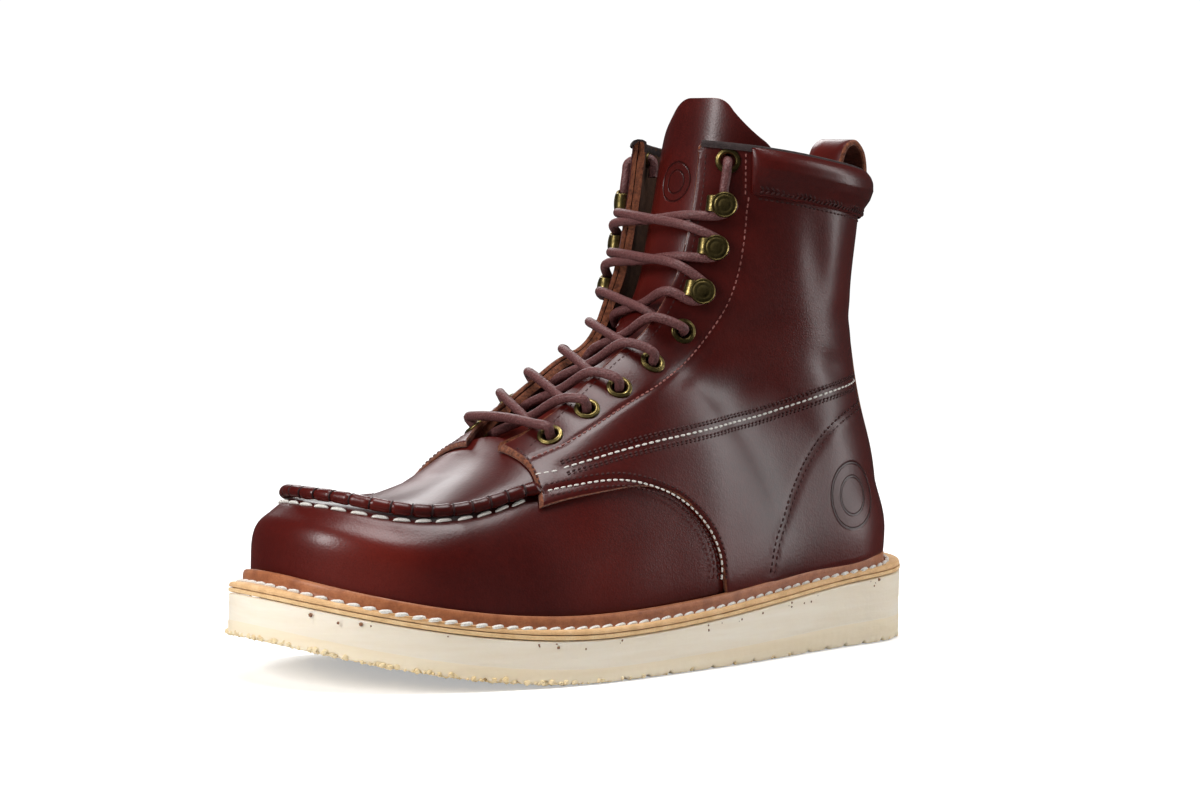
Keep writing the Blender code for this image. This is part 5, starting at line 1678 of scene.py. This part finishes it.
def add_lump(points, faces, centre, size, rng):
    """Add a small uneven closed lump to lists of points and faces."""
    start = len(points)
    points.append(centre + size * np.array([0.0, 0.0, 1.0]))
    for lift, wide in ((0.5, 0.85), (-0.4, 0.9)):
        for j in range(LUMP_SIDES):
            a = 2.0 * np.pi * j / LUMP_SIDES + lift
            r = wide * rng.uniform(0.75, 1.2)
            points.append(centre + size * np.array([r * np.cos(a), r * np.sin(a), lift]))
    points.append(centre - size * np.array([0.0, 0.0, 0.9]))
    upper = start + 1
    lower = upper + LUMP_SIDES
    for j in range(LUMP_SIDES):
        k = (j + 1) % LUMP_SIDES
        faces.append((start, upper + j, upper + k))
        faces.append((upper + j, lower + j, lower + k, upper + k))
        faces.append((lower + LUMP_SIDES, lower + k, lower + j))


def make_crumbs():
    """Crumbs of crepe along the bottom edge and specks of glue under the midsole."""
    rng = np.random.default_rng(11)
    loop = outline_loop(CRUMB_PLACES)
    out, _ = loop_frame(loop)
    points = []
    faces = []
    for i in range(CRUMB_PLACES):
        x = loop[i, 0]
        toe = np.clip((x - 150 * MM) / (60 * MM), 0.15, 1.0)
        if rng.uniform() > 0.60 * toe:
            continue
        size = rng.uniform(0.45, 1.0 + 0.5 * toe) * MM
        height = sole_bottom(np.array([x]))[0]
        centre = loop[i] + out[i] * (rng.uniform(-1.6, 0.0) * MM)
        centre = np.array([centre[0], centre[1], height + size * rng.uniform(0.3, 0.9)])
        centre[2] = max(centre[2], size * 0.95)
        add_lump(points, faces, centre, size, rng)
    add_piece("crepe_crumbs", np.array(points), faces, [CRUMB], None)
    points = []
    faces = []
    for _ in range(GLUE_PLACES):
        i = int(rng.integers(0, CRUMB_PLACES))
        x = loop[i, 0]
        for _ in range(int(rng.integers(1, 4))):
            size = rng.uniform(0.30, 0.95) * MM
            height = wedge_top(np.array([x]))[0] - rng.uniform(0.8, 3.2) * MM
            centre = loop[i] + out[i] * (-0.75 * size)
            centre = np.array([centre[0] + rng.uniform(-4, 4) * MM * 0.5, centre[1], height])
            add_lump(points, faces, centre, size, rng)
    add_piece("glue_specks", np.array(points), faces, [GLUE], None)


def make_midsole():
    count = 700
    loop = outline_loop(count)
    out, middle = loop_frame(loop)
    run = np.arange(count) / count * SOLE_ROUND
    x = loop[:, 0]
    low = wedge_top(x) + 0.5 * SEAT_GAP
    high = midsole_top(x) - 0.5 * SEAT_GAP
    fuzz = wobble(run, 2.6 * MM, 8) * 0.07 * MM + wobble(run, 24 * MM, 9) * 0.12 * MM
    rings = []

    def ring(away, height):
        move = out[:, :2] * np.broadcast_to(away, count)[:, None]
        rings.append(np.column_stack([loop[:, :2] + move, height]))

    edge = np.column_stack([loop[:, :2] - out[:, :2] * 3.0 * MM, high])
    disc(rings, edge, middle, lambda r: midsole_top(r[:, 0]) - 0.5 * SEAT_GAP, (1.0, 0.6, 0.2))
    ring(-3.0 * MM, high)
    ring(-0.5 * MM, high)
    ring(0.0 * MM + fuzz, high - 0.12 * MM)
    ring(0.10 * MM + fuzz, high * 0.6 + low * 0.4)
    ring(0.05 * MM + fuzz, high * 0.3 + low * 0.7)
    ring(-0.30 * MM + fuzz, low + 0.15 * MM)
    ring(-0.9 * MM, low)
    ring(-3.0 * MM, low)
    edge = np.column_stack([loop[:, :2] - out[:, :2] * 3.0 * MM, low])
    disc(rings, edge, middle, lambda r: wedge_top(r[:, 0]) + 0.5 * SEAT_GAP, (0.2, 0.6, 1.0))
    grid = np.stack(rings)
    faces = quads(len(rings), count, 0, True)
    add_piece("midsole_edge", grid.reshape(-1, 3), faces, [EDGE_TAN], None,
              ("midsole",), 60.0)


def make_welt():
    share = np.linspace(0.0, 1.0, 181)
    x = outline_x(share)
    rim = sole_rim(x)
    clear = np.full(len(rim), WELT_CLEAR)
    foot = shift(round_line(x, lambda q: midsole_top(q) + 0.5 * SEAT_GAP), clear)
    lip = shift(round_line(x, lip_top), clear)
    toward = foot - rim
    toward[:, 2] = 0.0
    gap = np.linalg.norm(toward, axis=1, keepdims=True)
    toward = toward / gap
    base = midsole_top(rim[:, 0]) + 0.5 * SEAT_GAP
    ledge = ledge_top(rim[:, 0])
    run = np.arange(len(rim)) / len(rim) * SOLE_ROUND
    fuzz = wobble(run, 3.0 * MM, 12) * 0.05 * MM + wobble(run, 26 * MM, 13) * 0.10 * MM

    def at(distance, height):
        point = rim + toward * np.broadcast_to(distance, len(rim))[:, None]
        point[:, 2] = height
        return point

    wide = np.minimum(2.2 * MM, gap[:, 0] * 0.33)[:, None]
    lip_out = lip - toward * wide
    groove = lip_out - toward * 1.0 * MM
    groove[:, 2] = ledge - 0.7 * MM
    foot_level = foot.copy()
    foot_level[:, 2] = base
    up = np.array([0.0, 0.0, 1.0])
    sections = [
        at(1.6 * MM, base),
        at(0.22 * MM + fuzz, base + 0.05 * MM),
        at(0.10 * MM + fuzz, base + 0.35 * (ledge - base)),
        at(0.45 * MM + fuzz, ledge - 0.35 * MM),
        at(0.90 * MM + fuzz, ledge),
        at(1.6 * MM, ledge + 0.12 * MM),
        groove - toward * 1.3 * MM + up * 0.75 * MM,
        groove - toward * 0.5 * MM + up * 0.15 * MM,
        groove,
        groove + toward * 0.55 * MM + up * 0.5 * MM,
        lip_out - toward * 0.10 * MM + up * (-WELT_LIP * 0.72),
        lip_out - toward * 0.12 * MM + up * (-WELT_LIP * 0.50),
        lip_out - toward * 0.02 * MM + up * (-WELT_LIP * 0.26),
        lip_out + toward * 0.25 * MM + up * (-0.35 * MM),
        lip_out + toward * 0.85 * MM + up * (0.12 * MM),
        lip_out * 0.4 + lip * 0.6 + up * 0.10 * MM,
        lip + up * (-0.5 * MM),
        foot_level,
    ]
    kinds = [1] * 7 + [0] * 11
    sweep("welt_strip", np.stack(sections, axis=1), True, [WELT_TAN, LEDGE_TAN], kinds,
          ("welt",), 60.0)
    seat = groove - toward * 0.35 * MM + up * 0.55 * MM
    closed = resample(np.concatenate([seat, seat[:1]]), 0.5 * MM)
    length = len(closed) * 0.5
    number = int(length / 6.1)
    at_index = (np.arange(number) / number * len(closed)).astype(int)
    middle = closed[at_index]
    ahead = closed[(at_index + 2) % len(closed)] - closed[(at_index - 2) % len(closed)]
    n = np.tile(up, (number, 1)) * 0.8
    outward = -np.cross(ahead / np.linalg.norm(ahead, axis=1, keepdims=True), up) * 0.6
    centre = closed.mean(0)
    outward *= np.sign(((middle - centre) * outward).sum(1, keepdims=True))
    n = n + outward
    n = n / np.linalg.norm(n, axis=1, keepdims=True)
    welt_thread.add(middle, ahead, n, 5.6 * MM, 0.86 * MM, -0.15, 0.16, 0.30 * MM)


def make_insole():
    count = 300
    share = np.linspace(0.0, 1.0, count // 2 + 1)
    x = outline_x(share)
    loop = round_line(x, lambda q: ledge_top(q) + 2.0 * MM)
    loop = shift(loop, np.full(len(loop), -WALL - 1.1 * MM))
    middle = np.stack([spine(loop[:, 0]), loop[:, 1] * 0.0, loop[:, 2]], -1)
    middle[:, 1] = sole_centre(middle[:, 0])
    floor = np.interp(loop[:, 0], x, ledge_top(x))
    rings = []

    def top(r):
        inward = np.linalg.norm(r[:, :2] - loop[:, :2], axis=1)
        dish = 1.2 * MM * np.clip(inward / (14 * MM), 0, 1)
        return np.interp(r[:, 0], x, ledge_top(x)) + 3.2 * MM - dish

    disc(rings, loop, middle, top, (1.0, 0.85, 0.7, 0.5, 0.3, 0.15, 0.05))
    rings.append(np.column_stack([loop[:, :2], floor + 3.0 * MM]))
    rings.append(np.column_stack([loop[:, :2], floor + 0.2 * MM]))
    low = loop + (middle - loop) * 0.03
    rings.append(np.column_stack([low[:, :2], floor - 0.4 * MM]))
    disc(rings, low, middle, lambda r: np.interp(r[:, 0], x, ledge_top(x)) - 0.4 * MM, (0.5, 1.0))
    grid = np.stack(rings)
    faces = quads(len(rings), len(loop), 0, True)
    add_piece("insole_board", grid.reshape(-1, 3), faces, [INSOLE_TAN], None, ("insole",))


# Hardware

def turned_piece(name, centre, n, along, profile, ring, nodes, sides=40):
    axis, t, b = frame_of(n, along)
    angles = np.linspace(0.0, 2.0 * np.pi, sides, endpoint=False)
    points = []
    for radius, height in profile:
        circle = np.cos(angles)[:, None] * t + np.sin(angles)[:, None] * b
        points.append(centre + axis * height + radius * circle)
    rows = len(profile)
    faces = quads(rows, sides, 0, True)
    if ring:
        faces += band((rows - 1) * sides, 0, sides)
    else:
        faces.append(tuple(range(sides)))
        faces.append(tuple((rows - 1) * sides + j for j in range(sides)))
    return add_piece(name, np.concatenate(points), faces, [BRASS], None, nodes, 55.0)


# Turned profiles: radius and height over the leather, in mm
EYELET_PROFILE = ((2.75, -5.2), (3.15, -5.2), (3.15, 0.1), (4.85, 0.15), (5.05, 0.55),
                  (4.95, 0.95), (4.6, 1.22), (4.25, 1.20), (4.05, 1.36), (3.75, 1.48),
                  (3.4, 1.42), (3.0, 1.10), (2.78, 0.5))
HOOK_PROFILE = ((4.1, 0.1), (4.1, 0.55), (3.6, 0.85), (2.0, 1.0), (1.7, 1.5), (1.7, 5.0),
                (2.4, 5.45), (4.7, 5.55), (5.05, 5.85), (5.10, 6.25), (4.90, 6.65), (4.70, 6.85),
                (4.40, 6.70), (4.10, 6.66), (3.85, 6.85), (2.9, 6.95), (2.55, 6.78), (2.25, 6.90),
                (1.2, 7.0), (0.25, 7.02))
# Neck of a hook: toward the lacing gap and up, in mm
NECK_ROWS = ((-2.6, 0.5), (-4.6, 0.9), (-6.1, 2.0), (-6.6, 3.5), (-6.1, 5.0), (-4.9, 5.9), (-3.0, 6.2))
NECK_PROFILE = ((1, -0.9), (1, -0.3), (1, 0.3), (1, 0.9), (0, 1), (-1, 0.9), (-1, -0.9), (0, -1))
NECK_THICK = 0.45 * MM
NECK_HALF = 3.3 * MM


def make_fittings(side, word):
    places = fitting_places(side)
    n = normals(places)
    base = OUTSIDE - 0.35 * MM
    away = np.array([0.0, side, 0.0])
    for i, row in enumerate(FITTING_ROWS):
        centre = places[i] + n[i] * (base + relief(places[i:i + 1])[0])
        profile = np.array(HOOK_PROFILE if row[HOOK] else EYELET_PROFILE) * MM
        kind = "hook" if row[HOOK] else "eyelet"
        name = "%s_%s_%d" % (kind, word, i + 1)
        turned_piece("brass_" + name, centre, n[i], away, profile, not row[HOOK], (name,))
        if row[HOOK]:
            axis, t, b = frame_of(n[i], away)
            strip = []
            for move, height in NECK_ROWS:
                strip.append(centre + t * move * MM + axis * height * MM)
            strip = round_off(strip, 4)
            ahead = unit(np.gradient(strip, axis=0))
            out = np.cross(ahead, b)
            sections = []
            for k in range(len(strip)):
                sections.append([strip[k] + out[k] * NECK_THICK * p + b * NECK_HALF * q
                                 for p, q in NECK_PROFILE])
            sweep("neck_%s_%d" % (word, i + 1), np.array(sections), False, [BRASS], None)


# Lace

# The lace's way round a hook: along the row and away from the gap, in mm
ROUND_HOOK = ((-4.6, -3.2), (-3.6, -0.2), (-1.9, 2.6), (0.0, 3.7), (1.9, 2.6), (3.6, -0.2))


def lace_half(side):
    """Control points from the first bar to the top eyelet, for the lace that starts on one side."""
    places = {s: fitting_places(s) for s in (1.0, -1.0)}
    shares = {s: [edge_share(s, p) for p in places[s]] for s in (1.0, -1.0)}
    here = side
    points = []
    p = places[here][0]
    n = normals(places[here])[0]
    up = places[here][1] - p
    up = up / np.linalg.norm(up)
    points.append(edge_point(here, shares[here][0], 1.2 * MM, OUTSIDE + LACE_RADIUS + 1.0 * MM))
    points.append(p + n * (OUTSIDE + 3.6 * MM) + up * 0.2 * MM)
    points.append(p + n * (OUTSIDE + 0.8 * MM))
    points.append(p + n * (-WALL - 1.6 * MM) + up * 0.6 * MM)
    over = 1.0 if side > 0.0 else -1.0
    for i in range(8):
        there = -here if i < 7 else here
        b = places[there][i + 1]
        nb = normals(places[there])[i + 1]
        first = shares[here][i]
        last = shares[there][i + 1]
        step = last - first
        up_b = places[there][min(i + 2, 8)] - places[there][min(i + 1, 7)]
        up_b = up_b / np.linalg.norm(up_b)
        hook_from = FITTING_ROWS[i][HOOK]
        hook_to = FITTING_ROWS[i + 1][HOOK]
        if i < 7:
            if hook_from:
                points.append(edge_point(here, first + 0.36 * step, -0.8 * MM, LACE_OVER + 0.2 * MM))
            else:
                points.append(edge_point(here, first + 0.16 * step, 3.2 * MM, LACE_UNDER - 0.4 * MM))
            goal = edge_point(there, first + (0.64 if hook_to else 0.86) * step, -0.3 * MM,
                              OUTSIDE + LACE_RADIUS + 0.55 * MM)
            middle = 0.5 * (points[-1] + goal)
            nm = normals(settle(middle[None]))[0]
            rise = (1.05 if over > 0.0 else -0.75) * MM
            points.append(middle + nm * (rise + (0.8 * MM if hook_from else 0.0)))
            points.append(goal)
            over = -over
        if hook_to:
            outer = np.cross(nb, up_b)
            outer = outer * np.sign(outer[1] * there)
            level = nb * (OUTSIDE + 3.1 * MM)
            for along, beside in ROUND_HOOK:
                points.append(b + level + up_b * along * MM + outer * beside * MM)
        elif i < 7:
            points.append(b + nb * (OUTSIDE + 3.2 * MM) - outer_edge(nb, there) * 1.6 * MM)
            points.append(b + nb * (OUTSIDE + 0.6 * MM) - outer_edge(nb, there) * 0.2 * MM)
            points.append(b + nb * (-WALL - 1.6 * MM) - outer_edge(nb, there) * 0.8 * MM)
        else:
            points.append(b + nb * (OUTSIDE + 2.9 * MM) - up_b * 5.6 * MM)
            points.append(b + nb * (OUTSIDE + 2.6 * MM) - up_b * 1.8 * MM)
            points.append(b + nb * (OUTSIDE + 0.2 * MM) - up_b * 0.2 * MM)
            points.append(b + nb * (-WALL - 3.0 * MM))
            points.append(b + nb * (-WALL - 4.0 * MM) - up_b * 7.0 * MM)
        here = there
    return points


def outer_edge(n, side):
    """Direction along the surface away from the lacing gap."""
    across = np.array([0.0, side, 0.0])
    across = across - n * np.dot(across, n)
    return across / np.linalg.norm(across)


def make_lace():
    outer = lace_half(1.0)
    inner = lace_half(-1.0)
    middle = 0.5 * (outer[0] + inner[0]) + np.array([0.0, 0.0, 0.9 * MM])
    control = np.array(outer[::-1] + [middle] + inner)
    path = resample(round_off(control, 9), 0.85 * MM)
    sections = cord_sections(path, LACE_RADIUS, 14)
    nodes = ["lace_bar", "lace_end_lateral", "lace_end_medial"]
    nodes += ["lace_cross_%d" % k for k in range(1, 8)]
    item = sweep("waxed_lace", sections, False, [LACE], None, nodes, 60.0)
    return item


# Stitches

white = Thread()
brown = Thread()
pink = Thread()
welt_thread = Thread()


def make_stitches():
    for side in (1.0, -1.0):
        lines = LINES[side]
        white.row(lines["diagonal"], OUTSIDE - 0.30 * MM, 3.15 * MM, 2.4 * MM, 0.42 * MM, 0.1)
        white.row(lines["arch"], OUTSIDE - 0.25 * MM, 2.75 * MM, 2.05 * MM, 0.40 * MM, 0.1)
        for away in (-3.1, -2.1, 2.1, 3.1):
            line = offset_line(lines["diagonal"], away * MM)
            brown.row(line, OUTSIDE - 0.12 * MM, 2.3 * MM, 1.55 * MM, 0.40 * MM, 0.1, 0.3)
        for away in (-2.6, 2.3):
            line = offset_line(lines["arch"], away * MM)
            brown.row(line, OUTSIDE - 0.05 * MM, 2.3 * MM, 1.55 * MM, 0.40 * MM, 0.1, 0.3)
        for away in (-1.3, 1.3):
            line = offset_line(lines["counter"], away * MM)
            brown.row(line, OUTSIDE - 0.05 * MM, 2.6 * MM, 1.8 * MM, 0.46 * MM, 0.1)
        pink.row(lines["eyestay"], OUTSIDE - 0.25 * MM, 2.5 * MM, 1.8 * MM, 0.36 * MM, 0.1)
        share = np.linspace(0.03, 0.985, 300)
        inside = eyestay_line(side, share)
        inside[:, 1] += side * 2.6 * MM
        inside = settle(inside, (1.0, 0.0, 1.0))
        brown.row(inside, OUTSIDE - 0.12 * MM, 2.4 * MM, 1.7 * MM, 0.38 * MM, 0.1)
        bar = side_line(side, ((209.4, 75.2), (200.6, 77.0)), 0.5 * MM)
        white.row(bar, OUTSIDE - 0.2 * MM, 3.0 * MM, 2.4 * MM, 0.42 * MM, 0.1)
        front = side_line(side, ((205.9, 84.0), (207.0, 80.0), (209.2, 74.0), (210.6, 68.6)), 0.5 * MM)
        brown.row(front, OUTSIDE - 0.05 * MM, 2.3 * MM, 1.6 * MM, 0.40 * MM, 0.1)
        share = np.linspace(0.03, CUFF_END - 0.02, 220)
        for drop, slant in ((CUFF_HEIGHT - 1.3 * MM, 0.7), (CUFF_HEIGHT - 2.9 * MM, -0.7)):
            line = collar_line(side, share, drop)
            brown.row(line, OUTSIDE + 1.85 * MM, 2.1 * MM, 2.0 * MM, 0.42 * MM, 0.1, slant)
        line = collar_line(side, share, CUFF_HEIGHT + 1.6 * MM)
        brown.row(line, OUTSIDE - 0.05 * MM, 2.3 * MM, 1.7 * MM, 0.42 * MM, 0.1)
        drops = np.linspace(2.0 * MM, CUFF_HEIGHT + 1.0 * MM, 40)
        line = np.concatenate([collar_line(side, np.array([CUFF_END + 0.018]), d) for d in drops])
        pink.row(line, OUTSIDE - 0.05 * MM, 2.4 * MM, 1.7 * MM, 0.36 * MM, 0.1)


# Stage, lights and camera

def aim(item, place, goal):
    place = np.array(place, float)
    back = place - np.array(goal, float)
    back = back / np.linalg.norm(back)
    right = np.cross(np.array([0.0, 0.0, 1.0]), back)
    right = right / np.linalg.norm(right)
    up = np.cross(back, right)
    m = Matrix(((right[0], up[0], back[0], place[0]), (right[1], up[1], back[1], place[1]),
                (right[2], up[2], back[2], place[2]), (0.0, 0.0, 0.0, 1.0)))
    item.matrix_world = m


def add_light(name, place, goal, size, power, colour=(1.0, 1.0, 1.0), spread=180.0):
    data = bpy.data.lights.new(name, "AREA")
    data.shape = "RECTANGLE"
    data.size = size[0]
    data.size_y = size[1]
    data.energy = power
    data.color = colour
    data.spread = np.radians(spread)
    item = bpy.data.objects.new(name, data)
    bpy.context.scene.collection.objects.link(item)
    aim(item, place, goal)
    return item


def make_stage():
    mesh = bpy.data.meshes.new("floor")
    count = 96
    angles = np.linspace(0.0, 2.0 * np.pi, count, endpoint=False)
    points = [(0.0, 0.0, -0.0003)]
    faces = []
    for radius in (0.3, 0.6, 0.9, 1.15):
        points += [(radius * np.cos(a), radius * np.sin(a), -0.0003) for a in angles]
    for j in range(count):
        k = (j + 1) % count
        faces.append((0, 1 + j, 1 + k))
        for r in range(3):
            a = 1 + r * count
            b = a + count
            faces.append((a + j, b + j, b + k, a + k))
    mesh.from_pydata(points, [], faces)
    floor = bpy.data.objects.new("floor", mesh)
    bpy.context.scene.collection.objects.link(floor)
    s = Shader("pale_floor", 0.6, specular=0.2)
    s.set("Base Color", (0.86, 0.86, 0.86, 1.0))
    s.set("Emission Color", (1.0, 1.0, 1.0, 1.0))
    seen = s.node("ShaderNodeLightPath").outputs["Is Camera Ray"]
    s.link(s.math("MULTIPLY", seen, 0.42), s.body.inputs["Emission Strength"])
    mesh.materials.append(s.material)
    floor.visible_glossy = False


def make_world():
    world = bpy.data.worlds.new("studio")
    world.use_nodes = True
    tree = world.node_tree
    tree.nodes.clear()
    out = tree.nodes.new("ShaderNodeOutputWorld")
    mixer = tree.nodes.new("ShaderNodeMixShader")
    dim = tree.nodes.new("ShaderNodeBackground")
    dim.inputs["Color"].default_value = (1.0, 1.0, 1.0, 1.0)
    dim.inputs["Strength"].default_value = 0.05
    bright = tree.nodes.new("ShaderNodeBackground")
    bright.inputs["Color"].default_value = (1.0, 1.0, 1.0, 1.0)
    bright.inputs["Strength"].default_value = 1.05
    path = tree.nodes.new("ShaderNodeLightPath")
    tree.links.new(path.outputs["Is Camera Ray"], mixer.inputs[0])
    tree.links.new(dim.outputs[0], mixer.inputs[1])
    tree.links.new(bright.outputs[0], mixer.inputs[2])
    tree.links.new(mixer.outputs[0], out.inputs["Surface"])
    bpy.context.scene.world = world
    bpy.context.scene.view_settings.view_transform = "Standard"


def make_camera():
    right = np.array([-0.76684, 0.64150, 0.02089])
    up = np.array([-0.02991, -0.06822, 0.99722])
    back = np.array([0.64114, 0.76408, 0.07150])
    place = np.array([0.80897, 0.96681, 0.19118])
    back = back / np.linalg.norm(back)
    right = right - back * right.dot(back)
    right = right / np.linalg.norm(right)
    up = np.cross(back, right)
    data = bpy.data.cameras.new("camera")
    data.lens = 96.39
    data.sensor_width = 36.0
    data.clip_start = 0.05
    data.clip_end = 50.0
    item = bpy.data.objects.new("camera", data)
    bpy.context.scene.collection.objects.link(item)
    rows = [(right[i], up[i], back[i], place[i]) for i in range(3)]
    item.matrix_world = Matrix(rows + [(0.0, 0.0, 0.0, 1.0)])
    bpy.context.scene.camera = item
    return right, up, back


make_stage()
make_world()
RIGHT, UP, BACK = make_camera()


def from_view(a, b, c):
    """Place from the camera's right, up and toward the camera, in metres, about the boot."""
    return RIGHT * a + UP * b + BACK * c + np.array([0.0, 0.0, 0.11])


add_light("key_left", from_view(-1.1, 0.70, 0.95), (0.03, 0.0, 0.06), (0.36, 0.70), 17.0)
add_light("top_box", from_view(0.1, 1.5, 0.2), (0.0, 0.0, 0.08), (0.8, 0.9), 21.0)
add_light("strip_right", from_view(1.15, 0.30, -0.20), (-0.05, 0.0, 0.12), (0.22, 1.1), 5.0)
add_light("back_fill", from_view(-0.3, 0.9, -1.4), (0.0, 0.0, 0.1), (0.9, 0.6), 8.0)

make_upper()
make_quarter("quarter_lateral", 1.0)
make_quarter("quarter_medial", -1.0)
make_collar()
make_binding()
make_backstay()
make_pull_loop()
make_tongue()
make_moc_seam()
make_nicks()
make_outsole()
make_crumbs()
make_midsole()
make_welt()
make_insole()
make_fittings(1.0, "lateral")
make_fittings(-1.0, "medial")
make_lace()
make_stitches()
white.build("white_stitches", WHITE_THREAD)
brown.build("brown_stitches", BROWN_THREAD)
pink.build("pink_stitches", PINK_THREAD)
welt_thread.build("welt_stitches", WHITE_THREAD)
